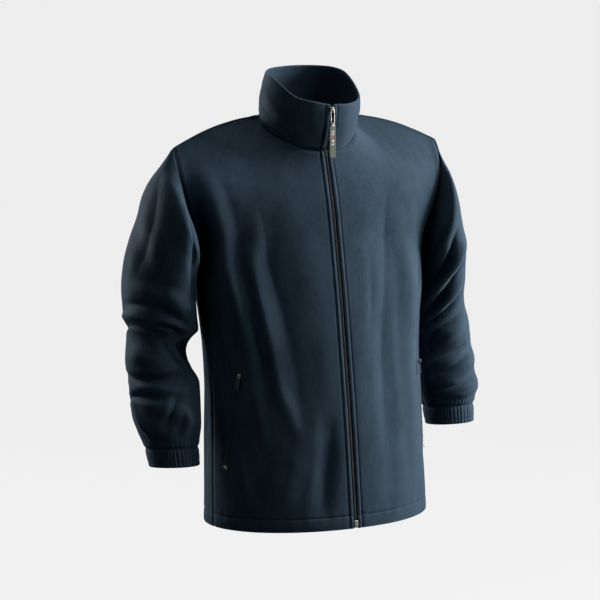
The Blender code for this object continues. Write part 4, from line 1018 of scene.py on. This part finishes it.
def front_surface(cut, side, waver):
    """A left-handed front: its outer face, normals, cut places, and distances from its edges."""
    pocket = sorted(share * FRONT_COLUMNS for share in (POCKET_TOP[0], POCKET_BOTTOM[0]))
    rows_at = steps_between(TOP_LEVEL, PANEL_STEP, (0, 0.12, 0.03), (0.42, 0.68, 0.03),
                            (TOP_LEVEL - 0.4, TOP_LEVEL, 0.06))
    places_at = steps_between(FRONT_COLUMNS, PANEL_STEP, (0, 0.42, 0.035),
                              (pocket[0] - 0.5, pocket[1] + 0.5, PANEL_STEP / 2),
                              (FRONT_COLUMNS - 0.4, FRONT_COLUMNS, 0.05))
    grid, out, uv = cut.surface("front_" + side, cut.front, rows_at, places_at)
    away = distances(grid)
    calm = np.clip(np.minimum(away["first"], away["last"]) / 0.03, 0, 1)
    grid = grid + (softened(grid, out, waver, 3 if side == "left" else 11) - grid) * calm[..., None]
    sunk = seam_dip(away["last"]) + seam_dip(away["top"]) + hem_shape(away["bottom"], uv[..., 0])
    sunk += ZIP_GROOVE * groove(away["first"], ZIP_STITCH, STITCH_WIDTH)
    sunk -= ZIP_SWELL * np.sin(pi * np.clip(away["first"] / ZIP_STITCH, 0, 1))
    pucker = np.sin(uv[..., 1] * 2 * pi / PUCKER_PITCH + 2.0 * np.sin(uv[..., 1] * 41))
    sunk += PUCKER * pucker * groove(away["first"], ZIP_STITCH * 0.8, PUCKER_REACH)
    line, _ = pocket_path(grid, out, rows_at, places_at)
    nearest = np.linalg.norm(grid[:, :, None] - line[None, None, ::3], axis=-1).min(axis=-1)
    sunk += 0.0007 * groove(nearest, 0, 0.0030) - 0.0005 * groove(nearest, 0.0052, 0.0026)
    sunk += 0.0005 * groove(nearest, POCKET_STITCH, 0.0018)
    grid = grid - out * sunk[..., None]
    return grid, out, uv, away, rows_at, places_at


def seam_dip(away):
    """How far the cloth rolls in towards a seam."""
    return (SEAM_DIP * groove(away, 0, SEAM_WIDTH)
            - SEAM_SWELL * groove(away, SEAM_SWELL_AT, SEAM_SWELL_WIDTH))


def area_of(grid):
    a = np.cross(grid[1:, 1:] - grid[:-1, :-1], grid[1:, :-1] - grid[:-1, 1:])
    return float(np.linalg.norm(a, axis=-1).sum() / 2)


def declare(grid, flat):
    """Works out a cloth piece's area, no more than that of its flat cut, and keeps nothing of it."""
    area = min(area_of(grid), flat[0] * flat[1])


def pocket_outline(grid, out, rows_at, places_at):
    """The topstitching round a pocket's zip, as lines on the cloth and their normals."""
    line, normals = pocket_path(grid, out, rows_at, places_at)
    sideways = unit(np.cross(unit(np.gradient(line, axis=0)), normals))
    return [(line + sideways * shift - normals * POCKET_STITCH_SUNK, normals)
            for shift in (-POCKET_STITCH, POCKET_STITCH)]


# ---------------------------------------------------------------- pieces worked out from the cut


def hem_shape(away, along):
    """A turned-up hem: a groove at its topstitching, a slight swell below and soft ripples."""
    ripple = np.sin(along * 2 * pi / HEM_RIPPLE_PITCH + 2.0 * np.sin(along * 33))
    return (HEM_GROOVE * groove(away, HEM_DEPTH, STITCH_WIDTH)
            - HEM_SWELL * np.sin(pi * np.clip(away / HEM_DEPTH, 0, 1))
            + HEM_RIPPLE * ripple * groove(away, HEM_DEPTH, HEM_RIPPLE_REACH))


def gathers(places, along):
    """Ridges from -1 to 1 where the elastic draws the cloth in, of uneven width and height."""
    start, end = GATHERED_PLACES
    inside = np.clip((places - start) / 0.8, 0, 1) * np.clip((end - places) / 0.8, 0, 1)
    wander = 0.9 * np.sin(places * 1.7 + 0.6) + 0.5 * np.sin(places * 3.9) + 12.0 * along
    height = 0.75 + 0.25 * np.sin(places * 5.3 + 1.0)
    return inside * height * np.sin(2 * pi * GATHERS_PER_PLACE * places + wander)


def cuff_grid(sleeve):
    """Rows from the sleeve's seam to the open end, drawn in a little by the elastic."""
    step = unit((sleeve[-1] - sleeve[-2]).mean(axis=0))
    share = np.linspace(0, 1, CUFF_ROWS + 1)[:, None, None]
    ring = sleeve[-1]
    grid = ring + step * CUFF_LENGTH * share
    return grid - (ring - ring.mean(axis=0)) * CUFF_DRAWN_IN * np.sin(pi / 2 * share)


def zip_line(front, fine):
    """y and z of the front edges from the hem to the collar's top, and the way out of them."""
    collar = collar_grid()
    if fine:
        rows = steps_between(TOP_LEVEL, PANEL_STEP)
        front = through(np.arange(TOP_LEVEL + 1), front[:, 0], rows)
        collar = through(np.arange(COLLAR_ROWS + 1), collar[:, -1],
                         steps_between(COLLAR_ROWS, PANEL_STEP))
        line = np.concatenate([front[:-1], collar])[:, 1:]
    else:
        line = np.concatenate([front[:-1, 0], collar[:, -1]])[:, 1:]
    along = unit(np.gradient(line, axis=0))
    return line, np.stack([-along[:, 1], along[:, 0]], axis=-1)


def arch_points(height):
    """The wire that the pull hangs from, in the slider's frame."""
    bend = [(pi - turn, turn) for turn in np.linspace(0, pi, 13)]
    top = [(0, ARCH_HALF_LENGTH * cos(turn), height - ARCH_HALF_LENGTH * 0.55
            + ARCH_HALF_LENGTH * 0.55 * sin(turn)) for _, turn in bend]
    return [(0, ARCH_HALF_LENGTH, 0.001)] + top + [(0, -ARCH_HALF_LENGTH, 0.001)]


def link_points():
    """The wire link, its upper bar at the origin, hanging along -z."""
    ring = []
    for side, middle, start in ((1, -LINK_CORNER, 0), (-1, -LINK_CORNER, 90),
                                (-1, LINK_CORNER - LINK_LENGTH, 180),
                                (1, LINK_CORNER - LINK_LENGTH, 270)):
        for turn in np.radians(np.linspace(start, start + 90, 7)):
            ring.append((side * (LINK_HALF_WIDTH - LINK_CORNER) + LINK_CORNER * cos(turn), 0,
                         middle + LINK_CORNER * sin(turn)))
    return ring


def slider_shape(shape):
    """Two plates joined at the top end, the front one crowned, in the slider's frame."""
    width, length, thick = SLIDER_SIZE
    rounded_box(shape, (width, length, 0.0013), 0.0005, 4, 0.16, (0, 0, thick / 2 - 0.0007))
    rounded_box(shape, (width, length, 0.0011), 0.0004, 3, 0.16, (0, 0, 0.0006 - thick / 2))
    rounded_box(shape, (width * 0.34, length * 0.4, thick - 0.0006), 0.0004, 3, 0,
                (0, length * 0.27, 0))


def puller_shape(shape):
    """The rubber tab: a raised rim round a long recess, ribs near its end, and an eye above."""
    width, thick, length = TAB_SIZE
    top = -TAB_BELOW_LINK
    rounded_box(shape, (width, thick * 0.72, length), 0.0010, 5, 0, (0, 0, top - length / 2))
    for across in (-1, 1):
        rounded_box(shape, (0.0016, thick, length - 0.001), 0.0006, 4, 0,
                    (across * (width / 2 - 0.0009), 0, top - length / 2))
    for end in (0.0010, length - 0.0010):
        rounded_box(shape, (width - 0.0006, thick, 0.0016), 0.0006, 4, 0, (0, 0, top - end))
    for number in range(5):
        rounded_box(shape, (width - 0.0042, thick * 0.94, 0.0009), 0.0004, 3, 0,
                    (0, 0, top - length + 0.0042 + number * 0.0021))


def crimp_shape(shape):
    """The metal loop that joins the tab to the wire link."""
    turned = Matrix.Rotation(pi / 2, 4, "Y")
    bmesh.ops.create_cone(shape, cap_ends=True, segments=24, radius1=EYE_RADIUS,
                          radius2=EYE_RADIUS, depth=EYE_WIDTH, matrix=turned)
    rounded_box(shape, (EYE_WIDTH + 0.0016, TAB_NECK_THICKNESS + 0.0003, 0.0044), 0.0005, 4, 0,
                (0, 0, -TAB_BELOW_LINK - 0.0002))


def mark_shape(shape):
    """Plain pale bars, with no meaning, where the tab is printed."""
    front = -TAB_SIZE[1] * 0.36
    for high, width, tall in ((0.0100, 0.0052, 0.0022), (0.0145, 0.0044, 0.0030),
                              (0.0260, 0.0050, 0.0034), (0.0315, 0.0050, 0.0026)):
        rounded_box(shape, (width, 0.0003, tall), 0.0001, 2, 0,
                    (0, front, -TAB_BELOW_LINK - high))


def dot_shape(shape):
    """A small round mark on the tab."""
    spot = Matrix.Translation((0, -TAB_SIZE[1] * 0.36, -TAB_BELOW_LINK - 0.0202))
    bmesh.ops.create_cone(shape, cap_ends=True, segments=28, radius1=0.0019, radius2=0.0019,
                          depth=0.0004, matrix=spot @ Matrix.Rotation(pi / 2, 4, "X"))


def floor_mesh(height):
    mesh = bpy.data.meshes.new("floor")
    shape = bmesh.new()
    bmesh.ops.create_circle(shape, cap_ends=True, segments=96, radius=300.0)
    bmesh.ops.translate(shape, verts=shape.verts, vec=(0, 0, height))
    shape.to_mesh(mesh)
    shape.free()
    return mesh


def floor_material(brightness):
    """Pale and even, as a lit paper sweep."""
    shader = Shader("pale_paper")
    place = shader.node("ShaderNodeTexCoord", output=3)
    fibre = shader.noise(place, 3.0, 2.0)
    shade = shader.blend(fibre, (0.990, 0.990, 0.990, 1), (1.0, 1.0, 1.0, 1))
    shader.set(Base_Color=(0.02, 0.02, 0.02, 1), Roughness=1.0, Specular_IOR_Level=0.0,
               Emission_Color=shade, Emission_Strength=brightness)
    return shader.material


def add_light(scene, name, spot, target, size, power, colour):
    lamp = bpy.data.lights.new(name, "AREA")
    lamp.shape = "DISK"
    lamp.size = size
    lamp.energy = power
    lamp.color = colour
    made = bpy.data.objects.new(name, lamp)
    made.location = Vector(spot)
    made.rotation_euler = (Vector(target) - Vector(spot)).to_track_quat("-Z", "Y").to_euler()
    made.visible_camera = False
    scene.collection.objects.link(made)


def add_camera(scene, right):
    turn, lift = radians(CAMERA_AZIMUTH), radians(CAMERA_ELEVATION)
    back = Vector((sin(turn) * cos(lift), -cos(turn) * cos(lift), sin(lift)))
    target = Vector((0, 0, CAMERA_TARGET_Z)) + Vector(right) * CAMERA_TARGET_ASIDE
    lens = bpy.data.cameras.new("camera")
    lens.lens = CAMERA_LENS
    lens.clip_end = 1000.0
    camera = bpy.data.objects.new("camera", lens)
    camera.location = target + back * CAMERA_DISTANCE
    camera.rotation_euler = (-back).to_track_quat("-Z", "Y").to_euler()
    scene.collection.objects.link(camera)
    scene.camera = camera


def pocket_path(grid, out, rows_at, places_at):
    """Points and normals along the left pocket's zip on a refined front, from its bottom up."""
    spots, normals = [], []
    for t in np.linspace(0, 1, POCKET_LINE_STEPS + 1):
        share = POCKET_BOTTOM[0] + (POCKET_TOP[0] - POCKET_BOTTOM[0]) * t
        row = POCKET_BOTTOM[1] + (POCKET_TOP[1] - POCKET_BOTTOM[1]) * t
        place = np.interp(share * FRONT_COLUMNS, places_at, np.arange(len(places_at)))
        level = np.interp(row, rows_at, np.arange(len(rows_at)))
        spots.append(on_grid(grid, place, level))
        normals.append(on_grid(out, place, level))
    return np.array(spots), unit(np.array(normals))


def line_at(grid, out, away, distance, each):
    """Points and normals at a distance from an edge, one for each row or for each place."""
    if each == "place":
        pick = np.abs(away - distance).argmin(axis=0)
        return grid[pick, np.arange(grid.shape[1])], out[pick, np.arange(grid.shape[1])]
    pick = np.abs(away - distance).argmin(axis=1)
    return grid[np.arange(len(grid)), pick], out[np.arange(len(grid)), pick]


def strip(name, centre, sideways, out, half_width, heights, material, replaced):
    """A narrow band along a line, raised from the cloth."""
    across = np.linspace(-1, 1, 7)[None, :, None]
    crown = (1 - across ** 2) * 0.0002
    top = centre[:, None] + sideways[:, None] * across * half_width
    grid = top + out[:, None] * (heights[1] + crown)
    under = top + out[:, None] * heights[0]
    u, v = np.meshgrid(np.linspace(0, 2 * half_width, 7), length_along(centre))
    mesh = cloth_mesh(name, grid, under, np.stack([u, v], -1), ("first", "last"))
    return new_object(name, mesh, material, "jacket", replaced)


def teeth(line, sideways, out, half_width, pitch, radius):
    """The turns of a zip's coil, leaning one way and then the other, as tubes."""
    run = length_along(line)
    parts = []
    for at in np.arange(pitch / 2, run[-1], pitch):
        spot, side, up = (np.array([np.interp(at, run, values[:, k]) for k in range(3)])
                          for values in (line, sideways, out))
        along = np.cross(up, side) * pitch * 0.3
        ends = [spot - side * half_width + along - up * radius * 0.7, spot + up * radius * 0.5,
                spot + side * half_width - along - up * radius * 0.7]
        parts.append(tube(ends, radius, sides=6))
    return parts


class FleeceSettings(bpy.types.PropertyGroup):
    """How the brushed cloth looks."""

    colour_light: bpy.props.FloatVectorProperty(
        name="Raised pile", description="Colour where the nap catches the light",
        subtype="COLOR", size=3, min=0, max=1, default=(0.029, 0.055, 0.084))
    colour_dark: bpy.props.FloatVectorProperty(
        name="Laid pile", description="Colour where the nap lies flat",
        subtype="COLOR", size=3, min=0, max=1, default=(0.010, 0.0215, 0.037))
    streaks: bpy.props.FloatProperty(
        name="Streaks", description="Contrast of the lengthwise streaks and clouds",
        default=1.5, min=0, max=4)
    specks: bpy.props.FloatProperty(
        name="Specks", description="Paler fibre tips among the pile", default=0.10, min=0, max=1)
    sheen: bpy.props.FloatProperty(
        name="Sheen", description="Soft light on the fibres at a grazing angle",
        default=0.22, min=0, max=1)
    pile_strength: bpy.props.FloatProperty(
        name="Pile strength", description="Strength of the pile's relief", default=0.55,
        min=0, max=1)
    pile_height: bpy.props.FloatProperty(
        name="Pile height", description="Height of the pile's relief", default=0.0008,
        min=0, max=0.005, subtype="DISTANCE", unit="LENGTH")
    waver: bpy.props.FloatProperty(
        name="Waver", description="Unevenness of the cloth between its folds", default=0.0011,
        min=0, max=0.005, subtype="DISTANCE", unit="LENGTH")
    gather_depth: bpy.props.FloatProperty(
        name="Gathers", description="Depth of the cuffs' elastic gathers", default=0.0008,
        min=0, max=0.003, subtype="DISTANCE", unit="LENGTH")


class StudioSettings(bpy.types.PropertyGroup):
    """The light, the floor and the backdrop."""

    key_power: bpy.props.FloatProperty(
        name="Key light", description="Power of the large light at the right", default=124.0,
        min=0, unit="POWER")
    soft_power: bpy.props.FloatProperty(
        name="Soft light", description="Power of the wide light in front at the right",
        default=24.0, min=0, unit="POWER")
    rim_power: bpy.props.FloatProperty(
        name="Rim lights", description="Power of each light behind the jacket", default=70.0,
        min=0, unit="POWER")
    fill_power: bpy.props.FloatProperty(
        name="Fill light", description="Power of the soft light from the left", default=11.0,
        min=0, unit="POWER")
    top_power: bpy.props.FloatProperty(
        name="Top light", description="Power of the soft light overhead", default=24.0,
        min=0, unit="POWER")
    backdrop: bpy.props.FloatProperty(
        name="Backdrop", description="Brightness of the floor and backdrop", default=0.855,
        min=0, max=1)
    floor_height: bpy.props.FloatProperty(
        name="Floor", description="Height of the floor", default=-1.15, unit="LENGTH")


class JACKET_OT_body(bpy.types.Operator):
    """Build both fronts and the back, with their folds, hems and stitching"""

    bl_idname = "jacket.body"
    bl_label = "Build the body"

    def execute(self, context):
        cut, material = Cut(), fleece_material(context)
        waver = context.scene.jacket_fleece.waver
        for side in ("left", "right"):
            grid, out, uv, away, rows_at, places_at = front_surface(cut, side, waver)
            name = "cloth_front_" + side
            piece = put_cloth(name, side, grid, grid - out * CLOTH, uv, ["first", "bottom"],
                              material, ["front_" + side])
            rows = [line_at(grid, out, away["bottom"], HEM_DEPTH, "place"),
                    line_at(grid, out, away["first"], ZIP_STITCH, "row"),
                    line_at(grid[:-3], out[:-3], away["last"][:-3], 0.0065, "row")]
            rows += pocket_outline(grid, out, rows_at, places_at)
            thread = put_stitches("stitches_front_" + side, side, rows)
            declare(grid, (0.375, 0.735))
        rows_at = steps_between(TOP_LEVEL, BACK_STEP, (0, 0.12, 0.04), (0.44, 0.66, 0.04),
                                (TOP_LEVEL - 0.36, TOP_LEVEL, 0.07))
        places_at = steps_between(BACK_COLUMNS, BACK_STEP, (0, 0.36, 0.06),
                                  (BACK_COLUMNS - 0.36, BACK_COLUMNS, 0.06))
        grid, out, uv = cut.surface("back", cut.back, rows_at, places_at)
        away = distances(grid)
        calm = np.clip(np.minimum(away["first"], away["last"]) / 0.03, 0, 1)[..., None]
        grid = grid + (softened(grid, out, waver, 23) - grid) * calm
        sunk = seam_dip(away["last"]) + seam_dip(away["first"]) + seam_dip(away["top"])
        sunk += hem_shape(away["bottom"], uv[..., 0])
        grid = grid - out * sunk[..., None]
        piece = put_cloth("cloth_back", "left", grid, grid - out * CLOTH, uv, ["bottom"], material,
                          ["back"])
        rows = [line_at(grid, out, away["bottom"], HEM_DEPTH, "place")]
        thread = put_stitches("stitches_back", "left", rows)
        declare(grid, (0.60, 0.755))
        return {"FINISHED"}


class JACKET_OT_sleeves(bpy.types.Operator):
    """Build both sleeves, with their elbow folds and bunches"""

    bl_idname = "jacket.sleeves"
    bl_label = "Build the sleeves"

    def execute(self, context):
        cut, material = Cut(), fleece_material(context)
        settings = context.scene.jacket_fleece
        for side, coarse in cut.sleeves.items():
            rows_at = steps_between(SLEEVE_ROWS, SLEEVE_STEP, (0, 0.5, 0.06),
                                    (SLEEVE_ROWS - 0.5, SLEEVE_ROWS, 0.06))
            places_at = steps_between(SLEEVE_POINTS, SLEEVE_STEP, (0, 0.3, 0.06),
                                      (SLEEVE_POINTS - 0.3, SLEEVE_POINTS, 0.06))
            grid, out, uv = cut.surface("sleeve_" + side, coarse, rows_at, places_at, True, -1)
            away = distances(grid)
            ends = np.minimum(away["bottom"], away["top"])
            calm = np.clip(np.minimum(ends, np.minimum(away["first"], away["last"])) / 0.02, 0, 1)
            grid = grid + (softened(grid, out, settings.waver, 31) - grid) * calm[..., None]
            sunk = seam_dip(away["bottom"]) + seam_dip(away["top"])
            sunk += 0.6 * (seam_dip(away["first"]) + seam_dip(away["last"]))
            near_cuff = np.clip(1 - away["top"] / 0.026, 0, 1)
            sunk -= gathers(places_at[None], uv[..., 1]) * settings.gather_depth * near_cuff
            grid = grid - out * sunk[..., None]
            piece = put_cloth("cloth_sleeve_" + side, side, grid[::-1], (grid - out * CLOTH)[::-1],
                              uv[::-1], [], material, ["sleeve_" + side])
            declare(grid, (0.52, 0.56))
        return {"FINISHED"}


class JACKET_OT_cuffs(bpy.types.Operator):
    """Build both half-elasticated cuffs"""

    bl_idname = "jacket.cuffs"
    bl_label = "Build the cuffs"

    def execute(self, context):
        cut, material = Cut(), fleece_material(context)
        depth = context.scene.jacket_fleece.gather_depth
        for side, sleeve in cut.sleeves.items():
            coarse = cuff_grid(sleeve)
            rows_at = steps_between(CUFF_ROWS, CUFF_STEP)
            places_at = steps_between(SLEEVE_POINTS, CUFF_STEP)
            grid = refined(coarse, rows_at, places_at, True)
            out = -surface_normals(grid, True)
            away = distances(grid)
            sunk = 0.0012 * groove(away["bottom"], 0, SEAM_WIDTH)
            sunk -= 0.0009 * np.sin(pi * np.clip(away["bottom"] / CUFF_LENGTH, 0, 1))
            sunk += 0.0007 * groove(away["top"], 0.006, 0.0016)
            sunk -= gathers(places_at[None], away["bottom"]) * depth
            grid = grid - out * sunk[..., None]
            u, v = np.meshgrid(places_at * 0.0148, rows_at * CUFF_LENGTH / CUFF_ROWS)
            uv = np.stack([u, v], -1)
            piece = put_cloth("cloth_cuff_" + side, side, grid[::-1],
                              (grid - out * CUFF_CLOTH)[::-1], uv[::-1], ["bottom"], material,
                              ["cuff_" + side])
            line = line_at(grid, out, away["top"], 0.006, "place")
            thread = put_stitches("stitches_cuff_" + side, side, [line])
            declare(grid, (0.34, 0.036))
        return {"FINISHED"}


class JACKET_OT_collar(bpy.types.Operator):
    """Build the stand collar, turned double at its top edge"""

    bl_idname = "jacket.collar"
    bl_label = "Build the collar"

    def execute(self, context):
        cut = Cut()
        coarse = collar_grid()
        places = coarse.shape[1] - 1
        rows_at = steps_between(COLLAR_ROWS, COLLAR_STEP, (0, 0.3, 0.05))
        places_at = steps_between(places, COLLAR_STEP, (0, 0.7, 0.05), (places - 0.7, places, 0.05))
        coarse[0, :, 2] -= COLLAR_SEAM_GAP
        grid, out, uv = cut.surface("collar", coarse, rows_at, places_at, False, -1)
        out[0] = unit(out[0] * np.array([1, 1, 0]))
        out[:, [0, -1]] = unit(out[:, [0, -1]] * np.array([0, 1, 1]))
        away = distances(grid)
        ends = np.minimum(away["first"], away["last"])
        calm = np.clip(np.minimum(ends / 0.05, away["bottom"] / 0.02), 0, 1)[..., None]
        grid = grid + (softened(grid, out, 0.0014, 41) - grid) * calm
        sunk = seam_dip(away["bottom"]) + 0.0011 * groove(ends, ZIP_STITCH, STITCH_WIDTH)
        sunk -= 0.0002 * np.sin(pi * np.clip(ends / ZIP_STITCH, 0, 1))
        grid = grid - out * sunk[..., None]
        piece = put_cloth("cloth_collar", "left", grid[::-1], (grid - out * COLLAR_CLOTH)[::-1],
                          uv[::-1], ["first", "last", "bottom"], fleece_material(context),
                          ["collar"])
        rows = [line_at(grid, out, away[edge], ZIP_STITCH, "row") for edge in ("first", "last")]
        thread = put_stitches("stitches_collar", "left", rows)
        declare(grid, (0.54, 0.085))
        return {"FINISHED"}


class JACKET_OT_front_zip(bpy.types.Operator):
    """Build the front zip's tapes and coil"""

    bl_idname = "jacket.front_zip"
    bl_label = "Build the front zip"

    def execute(self, context):
        cut = Cut()
        line, out = zip_line(cut.front, fine=True)
        line3 = points_of(0.0, line[:, 0], line[:, 1])
        out3 = points_of(0.0, out[:, 0], out[:, 1])
        side3 = np.tile([1.0, 0.0, 0.0], (len(line3), 1))
        tape = finish("zip_tape_weave", woven, "zip_tape_weave", linear(13, 18, 25),
                      linear(30, 38, 48))
        for side, sign in (("left", 1), ("right", -1)):
            aside = TAPE_FROM_MIDDLE + TAPE_WIDTH / 2
            centre = line3 + side3 * sign * aside - out3 * TAPE_DEPTH
            strip("tape_" + side, centre, side3, out3, TAPE_WIDTH / 2, (-TAPE_CLOTH, 0.0), tape,
                  ["zip_tape_" + side])
        run = length_along(line3)
        low = BOX_HEIGHT + BOX_SIZE[1] / 2
        high = run[-1] - SLIDER_BELOW_TOP - SLIDER_SIZE[1] / 2
        inside = (run > low) & (run < high)
        sunk = line3[inside] - out3[inside] * COIL_SUNK
        parts = teeth(sunk, side3[inside], out3[inside], COIL_HALF_WIDTH, COIL_PITCH, COIL_WIRE)
        new_object("coil_front", rings_mesh("coil_front", parts), coil_material(), "jacket",
                   ["zip_coil"])
        recoat("zip_box", metal_material())
        return {"FINISHED"}


class JACKET_OT_front_pull(bpy.types.Operator):
    """Build the front zip's slider, wire link and rubber puller"""

    bl_idname = "jacket.front_pull"
    bl_label = "Build the front pull"

    def execute(self, context):
        metal = metal_material()
        line, _ = zip_line(Cut().front, fine=False)
        placed = place_on_front(line, length_along(line)[-1] - SLIDER_BELOW_TOP)
        slider = grown(slider_shape, "slider_front")
        arch = rings_mesh("slider_arch", [tube(arch_points(ARCH_HEIGHT), ARCH_WIRE)])
        for name, mesh in (("slider_front", slider), ("slider_front_arch", arch)):
            mesh.transform(placed)
            new_object(name, mesh, metal, "jacket", ["zip_slider"])
        pivots = {joint["name"]: Vector(joint["pos_m"]) for joint in frame["joints"]}
        ring = rings_mesh("link", [tube(link_points(), LINK_WIRE, 12, cyclic=True)])
        ring.transform(Matrix.Translation(pivots["zip_link_swing"]))
        new_object("link_front", ring, metal, "pull_link", ["zip_link"])
        at = Matrix.Translation(pivots["zip_puller_swing"])
        rubber = finish("puller_rubber", moulded, "puller_rubber", linear(116, 121, 112), 0.55,
                        420.0)
        pale = finish("puller_mark", moulded, "puller_mark", linear(212, 214, 208), 0.6, 420.0)
        orange = finish("puller_dot", moulded, "puller_dot", linear(226, 112, 36), 0.6, 420.0)
        for name, maker, material, replaced, slot in (
                ("puller_front", puller_shape, rubber, ["zip_puller"], "zip_puller"),
                ("puller_front_crimp", crimp_shape, metal, (), "zip_metal"),
                ("puller_front_marks", mark_shape, pale, (), "zip_puller"),
                ("puller_front_dot", dot_shape, orange, (), "zip_puller")):
            mesh = grown(maker, name)
            mesh.transform(at)
            new_object(name, mesh, material, "pull_tab", replaced)
        return {"FINISHED"}


class JACKET_OT_pocket_zips(bpy.types.Operator):
    """Build the pocket zips and finish their sliders, stops and pulls"""

    bl_idname = "jacket.pocket_zips"
    bl_label = "Build the pocket zips"

    def execute(self, context):
        cut = Cut()
        tape = finish("pocket_tape_weave", woven, "pocket_tape_weave", linear(18, 26, 34),
                      linear(38, 50, 62))
        cream = finish("bartack_thread", woven, "bartack_thread", linear(196, 188, 166),
                       linear(226, 220, 200))
        pull = finish("pull_rubber", moulded, "pull_rubber", linear(52, 62, 70), 0.5, 420.0)
        for side in ("left", "right"):
            grid, out, _, _, rows_at, places_at = front_surface(
                cut, side, context.scene.jacket_fleece.waver)
            line, normals = pocket_path(grid, out, rows_at, places_at)
            line, normals = placed_on(side, line), placed_on(side, normals)
            along = unit(np.gradient(line, axis=0))
            sideways = unit(np.cross(along, normals))
            strip("pocket_tape_" + side, line, sideways, normals, POCKET_ZIP_HALF_WIDTH,
                  POCKET_TAPE_HEIGHTS, tape, ["pocket_zip_" + side])
            parts = teeth(line + normals * POCKET_COIL_HEIGHT, sideways, normals,
                          POCKET_COIL_HALF_WIDTH, POCKET_COIL_PITCH, POCKET_COIL_WIRE)
            new_object("pocket_coil_" + side, rings_mesh("pocket_coil", parts), coil_material(),
                       "jacket", ())
            tack = []
            for shift in np.linspace(-POCKET_ZIP_HALF_WIDTH, POCKET_ZIP_HALF_WIDTH,
                                     BARTACK_STITCHES):
                spot = line[0] + sideways[0] * shift
                ends = [spot - along[0] * BARTACK_LENGTH,
                        spot - along[0] * BARTACK_LENGTH / 2 + normals[0] * BARTACK_CROWN,
                        spot + along[0] * BARTACK_PAST_END]
                tack.append(tube(ends, STITCH_RADIUS, sides=6))
            new_object("bartack_" + side, rings_mesh("bartack", tack), cream, "jacket", ())
            for node, material in (("pocket_slider_", metal_material()), ("pocket_stop_", cream),
                                   ("pocket_pull_", pull)):
                recoat(node + side, material)
        return {"FINISHED"}


class JACKET_OT_studio(bpy.types.Operator):
    """Set the pale floor, the backdrop, the soft lights and the camera"""

    bl_idname = "jacket.studio"
    bl_label = "Set the studio"

    def execute(self, context):
        scene = context.scene
        settings = scene.jacket_studio
        scene.view_settings.view_transform = "Standard"
        world = bpy.data.worlds.new("studio")
        world.use_nodes = True
        shade = world.node_tree.nodes["Background"]
        shade.inputs["Color"].default_value = (settings.backdrop,) * 3 + (1,)
        for ray in ("diffuse", "glossy", "transmission", "scatter"):
            setattr(world.cycles_visibility, ray, False)
        scene.world = world
        floor = bpy.data.objects.new("floor", floor_mesh(settings.floor_height))
        scene.collection.objects.link(floor)
        floor.data.materials.append(floor_material(settings.backdrop))
        floor.visible_diffuse = False
        floor.visible_glossy = False
        floor.visible_shadow = False
        place = np.radians(CAMERA_AZIMUTH)
        right = np.array([cos(place), sin(place), 0.0])
        front = np.array([sin(place), -cos(place), 0.0])
        up = np.array([0.0, 0.0, 1.0])
        middle = np.array([0.0, 0.0, -0.33])
        cool = (0.97, 0.99, 1.0)
        lights = (
            ("key", right * 2.5 - front * 0.30 + up * 1.15, 1.0, settings.key_power,
             (1.0, 0.99, 0.97)),
            ("soft", right * 2.6 + front * 1.2 + up * 0.8, 1.6, settings.soft_power,
             (1.0, 1.0, 1.0)),
            ("fill", -right * 2.4 + front * 2.2 + up * 0.9, 2.4, settings.fill_power,
             (0.93, 0.97, 1.0)),
            ("rim_left", -right * 2.1 - front * 1.5 + up * 0.8, 1.2, settings.rim_power, cool),
            ("rim_right", right * 2.4 - front * 0.9 + up * 0.5, 1.2, settings.rim_power, cool),
            ("top", -front * 0.3 + up * 2.6, 1.8, settings.top_power, (1.0, 1.0, 1.0)),
        )
        for name, offset, size, power, colour in lights:
            add_light(scene, name, middle + offset, middle, size, power, colour)
        add_camera(scene, right)
        return {"FINISHED"}


class JACKET_PT_sidebar(bpy.types.Panel):
    """Lists the jacket's pieces and their settings"""

    bl_idname = "JACKET_PT_sidebar"
    bl_label = "Fleece zip jacket"
    bl_space_type = "VIEW_3D"
    bl_region_type = "UI"
    bl_category = "Jacket"

    def draw(self, context):
        for group in (context.scene.jacket_fleece, context.scene.jacket_studio):
            box = self.layout.box()
            for name in group.bl_rna.properties.keys():
                if name not in ("name", "rna_type"):
                    box.prop(group, name)
        for operator in OPERATORS:
            self.layout.operator(operator.bl_idname)


OPERATORS = (JACKET_OT_body, JACKET_OT_sleeves, JACKET_OT_cuffs, JACKET_OT_collar,
             JACKET_OT_front_zip, JACKET_OT_front_pull, JACKET_OT_pocket_zips, JACKET_OT_studio)
CLASSES = (FleeceSettings, StudioSettings) + OPERATORS + (JACKET_PT_sidebar,)


def register():
    for made in CLASSES:
        bpy.utils.register_class(made)
    bpy.types.Scene.jacket_fleece = bpy.props.PointerProperty(type=FleeceSettings)
    bpy.types.Scene.jacket_studio = bpy.props.PointerProperty(type=StudioSettings)


def unregister():
    del bpy.types.Scene.jacket_studio
    del bpy.types.Scene.jacket_fleece
    for made in reversed(CLASSES):
        bpy.utils.unregister_class(made)


def main():
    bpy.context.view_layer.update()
    register()
    bpy.ops.jacket.body()
    bpy.ops.jacket.sleeves()
    bpy.ops.jacket.cuffs()
    bpy.ops.jacket.collar()
    bpy.ops.jacket.front_zip()
    bpy.ops.jacket.front_pull()
    bpy.ops.jacket.pocket_zips()
    bpy.ops.jacket.studio()


if __name__ == "__main__":
    main()
